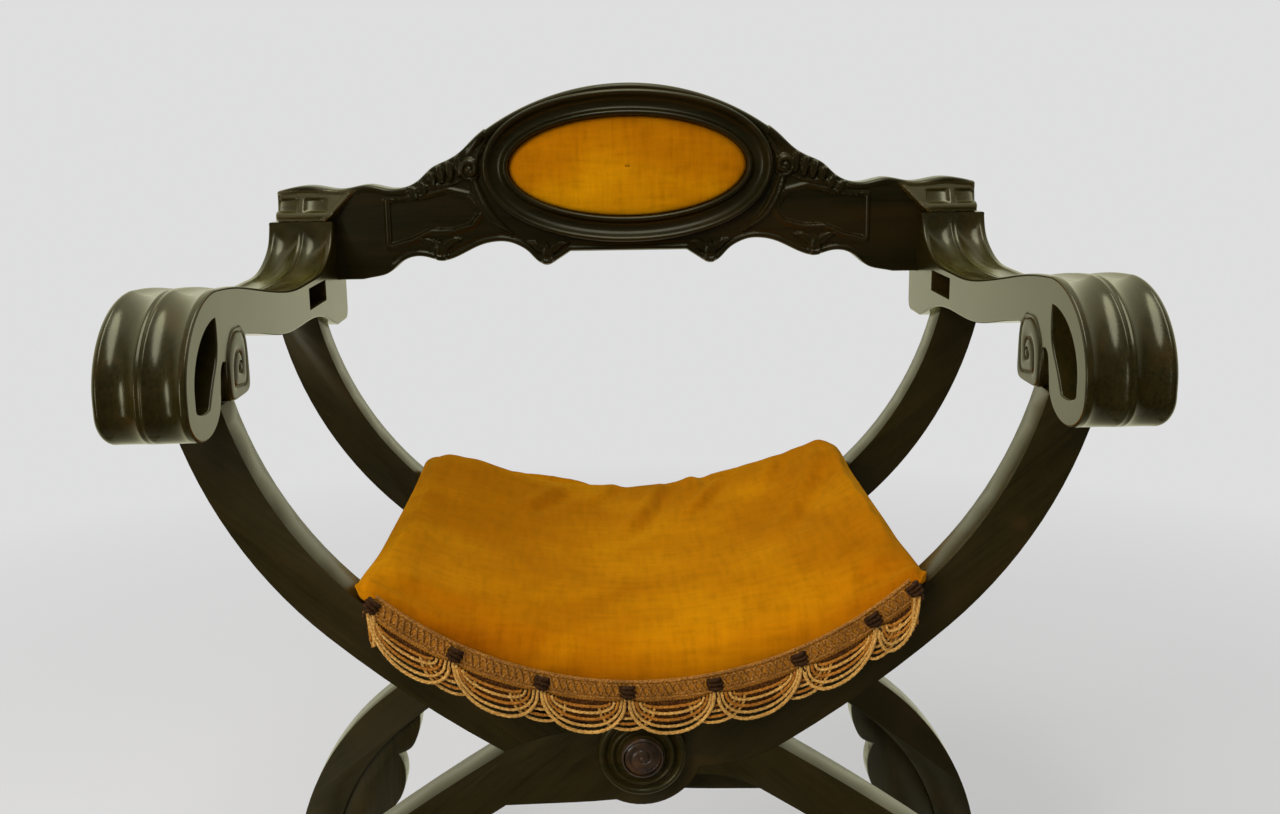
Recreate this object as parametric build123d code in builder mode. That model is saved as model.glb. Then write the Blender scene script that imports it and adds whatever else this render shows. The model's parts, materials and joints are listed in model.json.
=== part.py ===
"""Savonarola chair: a folding X-frame armchair of carved, black-stained hardwood.

Two scissored halves turn on one long rod. The fixed half carries the left arm and stands on
the right runner, the folding half carries the right arm and stands on the left runner. A carved
backrest lifts off the arms, and a velvet sling seat hangs between two rails.

All sizes are millimetres. The origin is on the floor under the middle of the chair, +Z is up and
the chair faces -Y. Heights called "rise" are measured from the axis of the fold.
"""

import os
from math import asin, cos, radians, sin, sqrt

from build123d import *

# Frame
pivot_height = 395.0            # floor to the axis of the fold
frame_pitch = 333.0             # front X frame to back X frame, centre to centre
leg_thickness = 33.0            # front to back
leg_width = 37.0                # across the face of a leg
cross_slope = 4.0               # slope of a leg at the fold, degrees
cross_straight = 50.5           # straight stretch each side of the fold
cross_radius = 108.0            # bend that lifts the leg out of the crossing
notch_slope = 32.0              # slope at the notch between an upper and a lower leg
bowl_lower_radius = 841.5       # upper leg, first bend
bowl_middle_slope = 42.0        # slope where its second bend starts
bowl_upper_radius = 322.5
bowl_end_slope = 84.0
arch_upper_radius = 1700.0      # lower leg, first bend
arch_middle_slope = 38.0
arch_lower_radius = 240.0
arch_end_slope = 90.0
hub_radius = 46.0               # round half-lap at the fold
web_rise = 43.0                 # web that fills the corner between the lap and the free edge of a leg
web_reach = 104.0
lap_gap = 0.3                   # running gap between the two halves

# Fold hardware
rod_diameter = 12.0
rod_clearance = 0.05            # radial, in the folding legs
boss_radius = 33.0
boss_thickness = 13.0
boss_pocket_radius = 14.0
boss_pocket_depth = 7.0
cap_radius = 16.0
cap_height = 4.0
cap_rounding = 3.0
nut_across_flats = 19.0
nut_thickness = 5.0
stretcher_radius = 15.0
stretcher_waist = 9.0

# Runners
runner_length = 484.0
runner_width = 44.0
runner_height = 42.0
runner_toe = 24.0               # height of the toes at both ends
runner_relief = 6.0             # arch under the middle
runner_pad_length = 96.0

# Dowels
dowel_diameter = 10.0
dowel_depth = 18.0              # into each of the two pieces

# Arms
arm_inset = 24.5                # inner face of an arm, inward from the middle of the front leg
arm_width = 62.0
arm_length = 517.0
arm_rear = 253.0                # rear ends of the arms, behind the middle of the frame
crown_rise = 354.0              # highest part of the front roll; the drops are measured from it
front_leg_drop = 84.0           # top of the front legs
back_leg_drop = 65.0            # top of the back legs
roll_height = 99.0
dip_drop = 28.0                 # top of the arm at its lowest
board_thickness = 36.0
lip_height = 21.0               # top of the rear upsweep, above the crown
ledge_drop = 42.0               # seat of the backrest on the arm
ledge_depth = 36.0
ledge_thickness = 43.0
roll_reach = 80.0               # upper curve of the front roll, from the crown to its front
roll_drop = 64.0                # upper curve of the front roll, from the crown down
turn_reach = 37.0               # half the depth of the roll's lower curve
turn_drop = 27.0                # height of the roll's lower curve
roll_band = 20.0                # thickness of the roll's outer band
slot_reach = 6.0                # top of the slot in the roll, forward of the crown
volute_radius = 26.5
volute_set = 31.0               # middle of the volute, behind the front of the legs
volute_drop = 61.0
flute_count = 2
flute_width = 23.0
flute_depth = 3.0
recess_length = 68.0            # in the inner face of an arm, before the back leg
recess_height = 18.0
recess_depth = 20.0
recess_gap = 28.0               # from the recess to the back leg's rear face
recess_drop = 44.0              # middle of the recess

# Seat
seat_inset = 36.6              # ends of the seat, inward from the middle of the legs
seat_overhang = 20.0            # past the outer faces of the legs, front and back
pad_end_rise = 122.8            # underside at the ends
pad_middle_rise = 62.0          # underside at the middle
pad_top_end_rise = 142.0
pad_top_middle_rise = 97.0
pad_edge_radius = 9.0
sling_thickness = 3.0
soft_gap = 0.3
rail_radius = 12.0
rail_inset = 19.0               # where the sling leaves a rail, inward from the ends of the seat
rail_tenon_diameter = 12.0
rail_tenon_length = 12.0
sling_margin = 2.0              # sling to the legs at its sides
sling_end = 0.97                # share of the seat's half width that the sling covers

# Fringe
braid_top = 11.0                # above the pad's lower edge
braid_height = 13.0
braid_thickness = 3.0
fringe_band = 15.0              # cords that hang below the braid all along
fringe_drop = 29.0              # lowest part of a swag, below the braid
fringe_thickness = 4.0
swag_share = 0.322              # nail to nail along the arc, as a share of the seat's half width
swag_count = 7
first_nail_inset = 8.0          # from the left end of the seat
last_nail_inset = 5.0           # from the right end of the seat
nail_radius = 5.5
nail_head = 3.0

# Backrest
panel_inset = 4.0               # ends of the panel, inward from the outer faces of the arms
panel_height = 188.0            # ledge to crest
panel_thickness = 28.0
panel_gap = 0.3
oval_share = 0.5745             # centre of the oval, as a share of the panel's height
oval_half_width = 118.0
oval_half_height = 49.0
oval_frame_width = 17.0
oval_frame_height = 9.0         # proud of the panel
oval_pad_clearance = 1.0
oval_pad_proud = 6.0
oval_board_lip = 12.0           # past the opening, all round
oval_board_thickness = 8.0
wing_field_depth = 4.0
pin_diameter = 8.0
pin_height = 5.0
pin_depth = 18.0
slot_travel = 7.0               # the right pin slides this far while the backrest lifts off
pin_clearance = 0.1             # radial
screw_radius = 4.0              # head; the shank is half as thick
screw_head = 2.0
screw_length = 14.0
screw_count = 4

# Knee carvings
knee_thickness = 25.0

front_face = -(frame_pitch + leg_thickness) / 2
frame_faces = {"front": front_face, "back": front_face + frame_pitch}
back_face = -front_face
arm_front = arm_rear - arm_length
panel_front = arm_rear - ledge_depth + panel_gap
front_leg_rise = crown_rise - front_leg_drop
back_leg_rise = crown_rise - back_leg_drop
roll_bottom_rise = crown_rise - roll_height
dip_rise = crown_rise - dip_drop
lip_rise = crown_rise + lip_height
ledge_rise = crown_rise - ledge_drop
ledge_underside_rise = ledge_rise - ledge_thickness
volute_rise = crown_rise - volute_drop
bowl_arcs = ((bowl_lower_radius, bowl_middle_slope), (bowl_upper_radius, bowl_end_slope))
arch_arcs = ((arch_upper_radius, arch_middle_slope), (arch_lower_radius, arch_end_slope))


def frame_plane(y):
    """A plane parallel to the X frames at depth y, its centre on the axis of the fold."""
    return Plane(origin=(0, y, pivot_height), x_dir=(1, 0, 0), z_dir=(0, -1, 0))


def side_plane(x):
    """A plane square to the arms at x: across is depth, up is the rise above the fold."""
    return Plane(origin=(x, 0, pivot_height), x_dir=(0, 1, 0), z_dir=(1, 0, 0))


def level_plane(rise, x=0.0, y=0.0):
    """A level plane at a rise above the fold, its centre at x, y."""
    return Plane(origin=(x, y, pivot_height + rise))


# The course of a leg


def leg_stations(arcs):
    """Half a leg's centre line from the fold: x, rise and slope at the ends and middles of its arcs."""
    stations = [(0.0, 0.0, cross_slope)]
    x = cross_straight * cos(radians(cross_slope))
    rise = cross_straight * sin(radians(cross_slope))
    slope = cross_slope
    stations.append((x, rise, slope))
    for radius, end_slope in ((cross_radius, notch_slope), *arcs):
        for new_slope in ((slope + end_slope) / 2, end_slope):
            across = sin(radians(new_slope)) - sin(radians(slope))
            up = cos(radians(slope)) - cos(radians(new_slope))
            stations.append((x + radius * across, rise + radius * up, new_slope))
        x, rise, slope = stations[-1]
    return stations


bowl = leg_stations(bowl_arcs)
arch = leg_stations(arch_arcs)
foot_x = arch[-1][0]
foot_rise = runner_height - pivot_height


def bowl_x(rise):
    """Centre of an upper leg at a rise that lies on its last arc."""
    radius = bowl_arcs[-1][0]
    x, start_rise, slope = bowl[-3]
    end = cos(radians(slope)) - (rise - start_rise) / radius
    return x + radius * (sqrt(1 - end * end) - sin(radians(slope)))


arm_inner = bowl_x(front_leg_rise) - arm_inset
arm_outer = arm_inner + arm_width
panel_half_width = arm_outer - panel_inset
oval_rise = ledge_rise + oval_share * panel_height
seat_half_width = bowl_x((pad_end_rise + pad_top_end_rise) / 2) - seat_inset
rail_reach = seat_half_width - rail_inset


def leg_side(stations, offset, turn):
    """One edge of half a leg, offset from its centre line; turn is -1 for the half below the fold."""
    points = []
    for x, rise, slope in stations:
        across = x - offset * sin(radians(slope))
        up = rise + offset * cos(radians(slope))
        points.append((turn * across, turn * up))
    Line(points[0], points[1])
    for first in range(1, len(points) - 2, 2):
        ThreePointArc(points[first], points[first + 1], points[first + 2])
    return points[-1]


def leg_face(width):
    """Face of a leg that rises to the right."""
    half = width / 2
    with BuildSketch() as face:
        with BuildLine():
            tips = [leg_side(bowl, side * half, 1) for side in (1, -1)]
            Line(tips[0], tips[1])
            toes = [leg_side(arch, side * half, -1) for side in (1, -1)]
            feet = [(x, foot_rise) for x, rise in toes]
            Line(toes[0], feet[0])
            Line(feet[0], feet[1])
            Line(feet[1], toes[1])
        make_face()
    return face.sketch


def web_face():
    """Webs at both sides of the fold of a leg that rises to the right, along its free edges."""
    lap_end = sqrt(hub_radius**2 - (web_rise - 1.6) ** 2)
    with BuildSketch() as webs:
        for turn in (1, -1):
            points = [
                (turn * lap_end, turn * (web_rise - 1.6)),
                (turn * 0.48 * web_reach, turn * web_rise),
                (turn * 0.77 * web_reach, turn * (web_rise + 0.6)),
                (turn * web_reach, turn * (web_rise + 1.2)),
            ]
            with BuildLine():
                Spline(*points)
                Polyline(points[3], (turn * 60, 0), (turn * 10, 0), points[0])
            make_face()
    return webs.sketch


def other_leg_face(width):
    """Face of a leg that rises to the left."""
    return mirror(leg_face(width), about=Plane.YZ, mode=Mode.PRIVATE)


def make_leg(y, rises_right, top_rise):
    """A leg of the X frame whose front face is at y, half-lapped with the other leg of its frame."""
    middle = y + leg_thickness / 2
    own_face, crossing_face = (leg_face, other_leg_face) if rises_right else (other_leg_face, leg_face)
    if rises_right:
        kept_depth, kept_from = leg_thickness / 2 - lap_gap / 2, middle - lap_gap / 2
        cut_depth, cut_from = leg_thickness / 2 + lap_gap / 2, y + leg_thickness
    else:
        kept_depth, kept_from = leg_thickness / 2 - lap_gap / 2, y + leg_thickness
        cut_depth, cut_from = leg_thickness / 2 + lap_gap / 2, middle + lap_gap / 2
    with BuildPart() as leg:
        with BuildSketch(frame_plane(y + leg_thickness)):
            add(own_face(leg_width))
        extrude(amount=leg_thickness)
        with BuildSketch(frame_plane(cut_from)):
            add(crossing_face(leg_width + 2 * lap_gap))
            Circle(hub_radius + lap_gap)
        extrude(amount=cut_depth, mode=Mode.SUBTRACT)
        with BuildSketch(frame_plane(kept_from)):
            Circle(hub_radius)
            webs = web_face()
            add(webs if rises_right else mirror(webs, about=Plane.YZ, mode=Mode.PRIVATE))
        extrude(amount=kept_depth)
        with BuildSketch(frame_plane(y + leg_thickness)):
            Circle(rod_diameter / 2 + (rod_clearance if rises_right else 0))
        extrude(amount=leg_thickness, mode=Mode.SUBTRACT)
        split(bisect_by=level_plane(top_rise), keep=Keep.BOTTOM)
        # dowel holes into the arm and the runner, and the tenon hole of the seat rail
        side = 1 if rises_right else -1
        leg_middle = y + leg_thickness / 2
        with Locations(level_plane(top_rise, side * bowl_x(top_rise), leg_middle)):
            Hole(dowel_diameter / 2, depth=dowel_depth)
        with Locations(Plane((-side * foot_x, leg_middle, runner_height), z_dir=(0, 0, -1))):
            Hole(dowel_diameter / 2, depth=dowel_depth)
        inner_side = 1 if y < 0 else -1
        tenon_face = y + leg_thickness if inner_side > 0 else y
        tenon_plane = Plane(
            (side * rail_x, tenon_face, pivot_height + rail_rise), z_dir=(0, inner_side, 0)
        )
        with Locations(tenon_plane):
            Hole(rail_tenon_diameter / 2, depth=rail_tenon_length)
    return leg


# Seat arcs: circles through the middle and the two ends


def arc_radius(middle_rise, end_rise):
    """Radius of a hanging arc through the seat's middle and ends."""
    sag = end_rise - middle_rise
    return (seat_half_width**2 + sag**2) / (2 * sag)


pad_under_radius = arc_radius(pad_middle_rise, pad_end_rise)
seat_centre_rise = pad_middle_rise + pad_under_radius
rail_angle = asin(rail_reach / pad_under_radius)
sling_radius = pad_under_radius + soft_gap + sling_thickness
rail_distance = sling_radius + soft_gap + rail_radius
rail_x = rail_distance * sin(rail_angle)
rail_rise = seat_centre_rise - rail_distance * cos(rail_angle)
seat_front = front_face - seat_overhang


def hanging_point(radius, angle):
    """A point on an arc about the seat's centre of curvature, angle in radians from straight down."""
    return (radius * sin(angle), seat_centre_rise - radius * cos(angle))


def hanging_band(inner_radius, outer_radius, start, end):
    """Face of a band that hangs about the seat's centre of curvature."""
    middle = (start + end) / 2
    with BuildSketch() as band:
        with BuildLine():
            ThreePointArc(*(hanging_point(inner_radius, angle) for angle in (start, middle, end)))
            Line(hanging_point(inner_radius, end), hanging_point(outer_radius, end))
            ThreePointArc(*(hanging_point(outer_radius, angle) for angle in (end, middle, start)))
            Line(hanging_point(outer_radius, start), hanging_point(inner_radius, start))
        make_face()
    return band.sketch


# Legs

for place, face in frame_faces.items():
    leg_top = front_leg_rise if place == "front" else back_leg_rise
    for hand, rises_right in (("left", False), ("right", True)):
        leg = make_leg(face, rises_right, leg_top)
        leg.part.label = f"{place}_leg_{hand}"
        export_step(leg.part, f"parts/{leg.part.label}.step")


# Knee carvings, on the inner side of the arches


def knee_point(across, down):
    """A point of the right-hand knee carving, as shares of the arch's half width and of its height."""
    return (across * foot_x, -down * arch[-1][1])


def knee_face():
    """Face of the carved bracket inside the arch of a right-hand lower leg, run on into the leg."""
    edge = (
        (0.686, 0.3604), (0.6564, 0.4376), (0.6771, 0.5148), (0.7274, 0.5534), (0.7096, 0.6178), (0.7303, 0.7143),
        (0.8043, 0.7947), (0.896, 0.8623), (0.9757, 0.843), (0.7747, 0.3475),
    )
    points = [knee_point(across, down) for across, down in edge]
    with BuildSketch() as face:
        with BuildLine():
            Spline(*points[:4], tangents=((-1, -0.6), (1, -0.3)))
            Spline(*points[3:8])
            Polyline(*points[7:], points[0])
        make_face()
    return face.sketch


for hand, side in (("left", -1), ("right", 1)):
    with BuildPart() as knees:
        for face in frame_faces.values():
            inset = (leg_thickness - knee_thickness) / 2
            with BuildSketch(frame_plane(face + leg_thickness - inset)):
                if side > 0:
                    add(knee_face())
                else:
                    mirror(knee_face(), about=Plane.YZ)
            extrude(amount=knee_thickness)
            with BuildSketch(frame_plane(face + leg_thickness)):
                add(other_leg_face(leg_width) if side > 0 else leg_face(leg_width))
            extrude(amount=leg_thickness, mode=Mode.SUBTRACT)
        # only what lies inside the arch stays
        insides = knees.solids().sort_by(SortBy.VOLUME)[-len(frame_faces) :]
        add(insides, mode=Mode.REPLACE)
    knees.part.label = f"knee_carvings_{hand}"
    export_step(knees.part, f"parts/{knees.part.label}.step")


# Runners, with toes at both ends and an arched underside

for hand, side in (("left", -1), ("right", 1)):
    half = runner_length / 2
    pad_inner = half - runner_pad_length
    with BuildPart() as runner:
        with BuildSketch(Plane.YZ.offset(side * foot_x - runner_width / 2)):
            with BuildLine():
                Polyline((-half, 0), (-pad_inner, 0), (-pad_inner + runner_relief, runner_relief))
                Line((-pad_inner + runner_relief, runner_relief), (pad_inner - runner_relief, runner_relief))
                Polyline((pad_inner - runner_relief, runner_relief), (pad_inner, 0), (half, 0))
                Line((half, 0), (half, runner_toe))
                toe = Spline(
                    (half, runner_toe),
                    (half - 22, runner_toe + 2),
                    (back_face + 4, runner_height),
                    tangents=((-1, 0.2), (-1, 0)),
                )
                Line(toe @ 1, (front_face - 4, runner_height))
                Spline(
                    (front_face - 4, runner_height),
                    (-half + 22, runner_toe + 2),
                    (-half, runner_toe),
                    tangents=((-1, 0), (-1, -0.2)),
                )
                Line((-half, runner_toe), (-half, 0))
            make_face()
        extrude(amount=runner_width)
        fillet(runner.edges().filter_by(Axis.Z).group_by(Axis.Y)[0], 8)
        fillet(runner.edges().filter_by(Axis.Z).group_by(Axis.Y)[-1], 8)
        for face in frame_faces.values():
            with Locations((side * foot_x, face + leg_thickness / 2, runner_height)):
                Hole(dowel_diameter / 2, depth=dowel_depth)
    runner.part.label = f"runner_{hand}"
    export_step(runner.part, f"parts/{runner.part.label}.step")


# Arms


def arm_top_line(depth):
    """The upper line of an arm, from the rear lip forward and down the front roll, cut in by depth."""
    lip = arm_rear - ledge_depth
    roll_y = arm_front + roll_reach
    turn_y = arm_front + turn_reach
    turn_rise = roll_bottom_rise + turn_drop
    board = Spline(
        (lip - 0.0271 * arm_length, lip_rise - depth),
        (lip - 0.0406 * arm_length + depth / 2, lip_rise - 20 - depth),
        (lip - 0.0774 * arm_length, dip_rise + 14 - depth),
        (lip - 0.1393 * arm_length, dip_rise + 3 - depth),
        (lip - 0.2322 * arm_length, dip_rise - depth),
        (lip - 0.3481 * arm_length, dip_rise - depth),
        (lip - 0.4642 * arm_length, dip_rise + 6 - depth),
        (lip - 0.5996 * arm_length, crown_rise - 11 - depth),
        (roll_y + 0.5 * roll_reach, crown_rise - 3 - depth),
        (roll_y, crown_rise - depth),
    )
    roll = EllipticalCenterArc(
        (roll_y, crown_rise - roll_drop), roll_reach - depth, roll_drop - depth, start_angle=90, arc_size=90
    )
    Line((arm_front + depth, crown_rise - roll_drop), (arm_front + depth, turn_rise))
    EllipticalCenterArc(
        (turn_y, turn_rise), turn_reach - depth, turn_drop - depth, start_angle=180, arc_size=90
    )
    return board @ 0, (turn_y, roll_bottom_rise + depth)


def arm_face(depth):
    """Side view of an arm: board, front roll, volute and rear upsweep, its upper line cut in by depth."""
    lip = arm_rear - ledge_depth
    volute_y = front_face + volute_set
    board_underside = crown_rise - board_thickness
    roll_y = arm_front + roll_reach
    turn_y = arm_front + turn_reach
    turn_rise = roll_bottom_rise + turn_drop
    with BuildSketch() as face:
        with BuildLine():
            top_start, top_end = arm_top_line(depth)
            if depth:
                Line(top_end, (turn_y, roll_bottom_rise))
            EllipticalCenterArc((turn_y, turn_rise), turn_reach, turn_drop, start_angle=270, arc_size=90)
            # the hook's tip joins the volute above the leg
            Polyline(
                (turn_y + turn_reach, turn_rise),
                (turn_y + turn_reach + 4, volute_rise + 7),
                (volute_y - 20, volute_rise + 8),
                (volute_y + 25, board_underside - 6),
            )
            under = Spline(
                (volute_y + 25, board_underside - 6),
                (front_face + 0.2853 * frame_pitch, board_underside - 13),
                (front_face + 0.5105 * frame_pitch, dip_rise - board_thickness + 2),
                (back_face - leg_thickness - 40, dip_rise - board_thickness),
                (back_face - leg_thickness, back_leg_rise),
                tangents=((1, 0), (1, 0)),
            )
            Polyline(
                under @ 1,
                (back_face, back_leg_rise),
                (back_face, ledge_underside_rise),
                (arm_rear - 10, ledge_underside_rise),
                (arm_rear, ledge_underside_rise + 10),
                (arm_rear, ledge_rise),
                (lip, ledge_rise),
                (lip, lip_rise - depth),
                top_start,
            )
        make_face()
        with Locations((volute_y, volute_rise)):
            Circle(volute_radius)
        # the volute's rear side is square
        block_top = board_underside - 6
        with Locations((volute_y + 12.5, (front_leg_rise + block_top) / 2)):
            Rectangle(25, block_top - front_leg_rise)
        # slot between the front roll and the hook that curls back to the volute
        roll_y_radius = roll_reach - roll_band
        roll_z_radius = roll_drop - roll_band
        with BuildLine():
            outer = EllipticalCenterArc(
                (roll_y, crown_rise - roll_drop), roll_y_radius, roll_z_radius, start_angle=96, arc_size=84
            )
            Line(outer @ 1, (arm_front + roll_band, turn_rise))
            tip = EllipticalCenterArc(
                (turn_y, turn_rise),
                turn_reach - roll_band,
                turn_drop - roll_band,
                start_angle=180,
                arc_size=120,
            )
            Polyline(tip @ 1, (roll_y - slot_reach, board_underside - 8), outer @ 0)
        make_face(mode=Mode.SUBTRACT)
        # flat seat over the front leg
        with Locations((volute_y - 6, front_leg_rise - volute_radius / 2)):
            Rectangle(leg_thickness + 30, volute_radius, mode=Mode.SUBTRACT)
    return face.sketch


for hand, side in (("left", -1), ("right", 1)):
    inner_x = side * arm_inner if side > 0 else side * arm_outer
    arm_middle = side * (arm_inner + arm_width / 2)
    with BuildPart() as arm:
        # ribs stand between the flutes and along both edges
        rib_width = (arm_width - flute_count * flute_width) / (flute_count + 1)
        for rib in range(flute_count + 1):
            rib_x = inner_x + rib * (rib_width + flute_width)
            with BuildSketch(side_plane(rib_x)):
                add(arm_face(0.0))
            extrude(amount=rib_width)
            if rib < flute_count:
                with BuildSketch(side_plane(rib_x + rib_width)):
                    add(arm_face(flute_depth))
                extrude(amount=flute_width)
        for place, face in frame_faces.items():
            seat_rise = front_leg_rise if place == "front" else back_leg_rise
            spot = Plane((side * bowl_x(seat_rise), face + leg_thickness / 2, pivot_height + seat_rise), z_dir=(0, 0, -1))
            with Locations(spot):
                Hole(dowel_diameter / 2, depth=dowel_depth)
        recess_y = back_face - recess_gap - recess_length / 2
        with Locations((side * arm_inner, recess_y, pivot_height + crown_rise - recess_drop)):
            Box(2 * recess_depth, recess_length, recess_height, mode=Mode.SUBTRACT)
        pin_y = panel_front + panel_thickness / 2
        with Locations(level_plane(ledge_rise, arm_middle, pin_y)):
            Hole(pin_diameter / 2, depth=pin_depth)
    arm.part.label = f"arm_{hand}"
    export_step(arm.part, f"parts/{arm.part.label}.step")



# Fold hardware: rod, stretcher, bosses with their nuts and caps

boss_seats = {"front": front_face - lap_gap, "back": back_face}
outward = {"front": -1, "back": 1}
pocket_floor = boss_thickness - boss_pocket_depth
rod_reach = pocket_floor + nut_thickness + 1
rod_front = boss_seats["front"] - rod_reach
rod_back = boss_seats["back"] + rod_reach
fold_axis = Axis((0, 0, pivot_height), (0, 1, 0))

with BuildPart() as pivot_rod:
    with BuildSketch(frame_plane(rod_back)):
        Circle(rod_diameter / 2)
    extrude(amount=rod_back - rod_front)
    chamfer(pivot_rod.edges().filter_by(GeomType.CIRCLE), 0.8)
pivot_rod.part.label = "pivot_rod"
export_step(pivot_rod.part, "parts/pivot_rod.step")

with BuildPart() as centre_stretcher:
    start = front_face + leg_thickness
    end = -start - lap_gap
    with BuildSketch(side_plane(0)):
        with BuildLine():
            Polyline((start, rod_diameter / 2), (start, stretcher_radius), (start + 22, stretcher_radius))
            Spline(
                (start + 22, stretcher_radius),
                (start + 60, stretcher_waist + 1),
                (-stretcher_radius, stretcher_waist + 4),
                (0, stretcher_radius),
                (stretcher_radius, stretcher_waist + 4),
                (end - 60, stretcher_waist + 1),
                (end - 22, stretcher_radius),
            )
            Polyline((end - 22, stretcher_radius), (end, stretcher_radius), (end, rod_diameter / 2))
            Line((end, rod_diameter / 2), (start, rod_diameter / 2))
        make_face()
    revolve(axis=fold_axis)
centre_stretcher.part.label = "centre_stretcher"
export_step(centre_stretcher.part, "parts/centre_stretcher.step")

for place, seat in boss_seats.items():
    away = outward[place]
    with BuildPart() as boss:
        with BuildSketch(side_plane(0)):
            with BuildLine():
                rim = ((0.0, boss_radius), (0.5, boss_radius), (0.78, boss_radius - 4), (0.55, boss_radius - 7))
                ring = ((0.9, boss_radius - 11), (1.0, boss_pocket_radius + 3), (1.0, boss_pocket_radius))
                profile = [(seat + away * share * boss_thickness, radius) for share, radius in rim + ring]
                Line(profile[0], profile[1])
                Spline(*profile[1:6], tangents=((away, 0), (away, -0.2)))
                Polyline(
                    profile[5],
                    profile[6],
                    (seat + away * pocket_floor, boss_pocket_radius),
                    (seat + away * pocket_floor, rod_diameter / 2),
                    (seat, rod_diameter / 2),
                    profile[0],
                )
            make_face()
        revolve(axis=fold_axis)
    boss.part.label = f"{place}_boss"
    export_step(boss.part, f"parts/{boss.part.label}.step")

with BuildPart() as boss_caps:
    for place, seat in boss_seats.items():
        away = outward[place]
        cap_back = max(seat + away * boss_thickness, seat + away * (boss_thickness + cap_height))
        with BuildSketch(frame_plane(cap_back)):
            Circle(cap_radius)
        extrude(amount=cap_height)
    fillet([boss_caps.edges().sort_by(Axis.Y)[0], boss_caps.edges().sort_by(Axis.Y)[-1]], cap_rounding)
boss_caps.part.label = "boss_caps"
export_step(boss_caps.part, "parts/boss_caps.step")

with BuildPart() as pivot_nuts:
    for place, seat in boss_seats.items():
        nut_floor = seat + outward[place] * pocket_floor
        nut_back = max(nut_floor, nut_floor + outward[place] * nut_thickness)
        with BuildSketch(frame_plane(nut_back)):
            RegularPolygon(nut_across_flats / 2, 6, major_radius=False)
            Circle(rod_diameter / 2, mode=Mode.SUBTRACT)
        extrude(amount=nut_thickness)
pivot_nuts.part.label = "pivot_nuts"
export_step(pivot_nuts.part, "parts/pivot_nuts.step")


# Dowels between legs, arms and runners

for hand, side in (("left", -1), ("right", 1)):
    with BuildPart() as arm_dowels:
        for place, face in frame_faces.items():
            seat_rise = front_leg_rise if place == "front" else back_leg_rise
            spot = level_plane(seat_rise - dowel_depth, side * bowl_x(seat_rise), face + leg_thickness / 2)
            with BuildSketch(spot):
                Circle(dowel_diameter / 2)
            extrude(amount=2 * dowel_depth)
    arm_dowels.part.label = f"arm_dowels_{hand}"
    export_step(arm_dowels.part, f"parts/{arm_dowels.part.label}.step")

    with BuildPart() as foot_dowels:
        for face in frame_faces.values():
            with BuildSketch(Plane((side * foot_x, face + leg_thickness / 2, runner_height - dowel_depth))):
                Circle(dowel_diameter / 2)
            extrude(amount=2 * dowel_depth)
    foot_dowels.part.label = f"foot_dowels_{hand}"
    export_step(foot_dowels.part, f"parts/{foot_dowels.part.label}.step")


# Seat: rails, sling, velvet pad

inner_length = frame_pitch - leg_thickness
for hand, side in (("left", -1), ("right", 1)):
    with BuildPart() as seat_rail:
        with BuildSketch(frame_plane(inner_length / 2)):
            with Locations((side * rail_x, rail_rise)):
                Circle(rail_radius)
        extrude(amount=inner_length)
        with BuildSketch(frame_plane(inner_length / 2 + rail_tenon_length)):
            with Locations((side * rail_x, rail_rise)):
                Circle(rail_tenon_diameter / 2)
        extrude(amount=inner_length + 2 * rail_tenon_length)
    seat_rail.part.label = f"seat_rail_{hand}"
    export_step(seat_rail.part, f"parts/{seat_rail.part.label}.step")

with BuildPart() as seat_sling:
    reach = asin(seat_half_width * sling_end / sling_radius)
    with BuildSketch(frame_plane(inner_length / 2 - sling_margin)):
        add(hanging_band(sling_radius - sling_thickness, sling_radius, -reach, reach))
    extrude(amount=inner_length - 2 * sling_margin)
seat_sling.part.label = "seat_sling"
export_step(seat_sling.part, "parts/seat_sling.step")

with BuildPart() as seat_pad:
    with BuildSketch(frame_plane(-seat_front)):
        with BuildLine():
            under = ThreePointArc(
                (-seat_half_width, pad_end_rise), (0, pad_middle_rise), (seat_half_width, pad_end_rise)
            )
            top = ThreePointArc(
                (seat_half_width - 3, pad_top_end_rise), (0, pad_top_middle_rise), (3 - seat_half_width, pad_top_end_rise)
            )
            end_rise = (pad_end_rise + pad_top_end_rise) / 2
            ThreePointArc(under @ 1, (seat_half_width + 5, end_rise), top @ 0)
            ThreePointArc(top @ 1, (-seat_half_width - 5, end_rise), under @ 0)
        make_face()
    extrude(amount=-2 * seat_front)
    long_edges = seat_pad.edges().filter_by(lambda edge: edge.length > seat_half_width)
    fillet(long_edges.sort_by(Axis.Z)[-2:], pad_edge_radius)
seat_pad.part.label = "seat_pad"
export_step(seat_pad.part, "parts/seat_pad.step")


# Fringe along the front edge

nail_ring = pad_under_radius - braid_top + braid_height / 2
braid_lower = pad_under_radius - braid_top + braid_height
swag_pitch = swag_share * seat_half_width
first_angle = asin((first_nail_inset - seat_half_width) / nail_ring)
last_angle = asin((seat_half_width - last_nail_inset) / nail_ring)
nail_angles = [first_angle + swag * swag_pitch / nail_ring for swag in range(swag_count)] + [last_angle]

with BuildPart() as fringe_braid:
    with BuildSketch(frame_plane(seat_front)):
        add(hanging_band(pad_under_radius - braid_top, braid_lower, first_angle, last_angle))
    extrude(amount=braid_thickness)
fringe_braid.part.label = "fringe_braid"
export_step(fringe_braid.part, "parts/fringe_braid.step")

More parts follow.
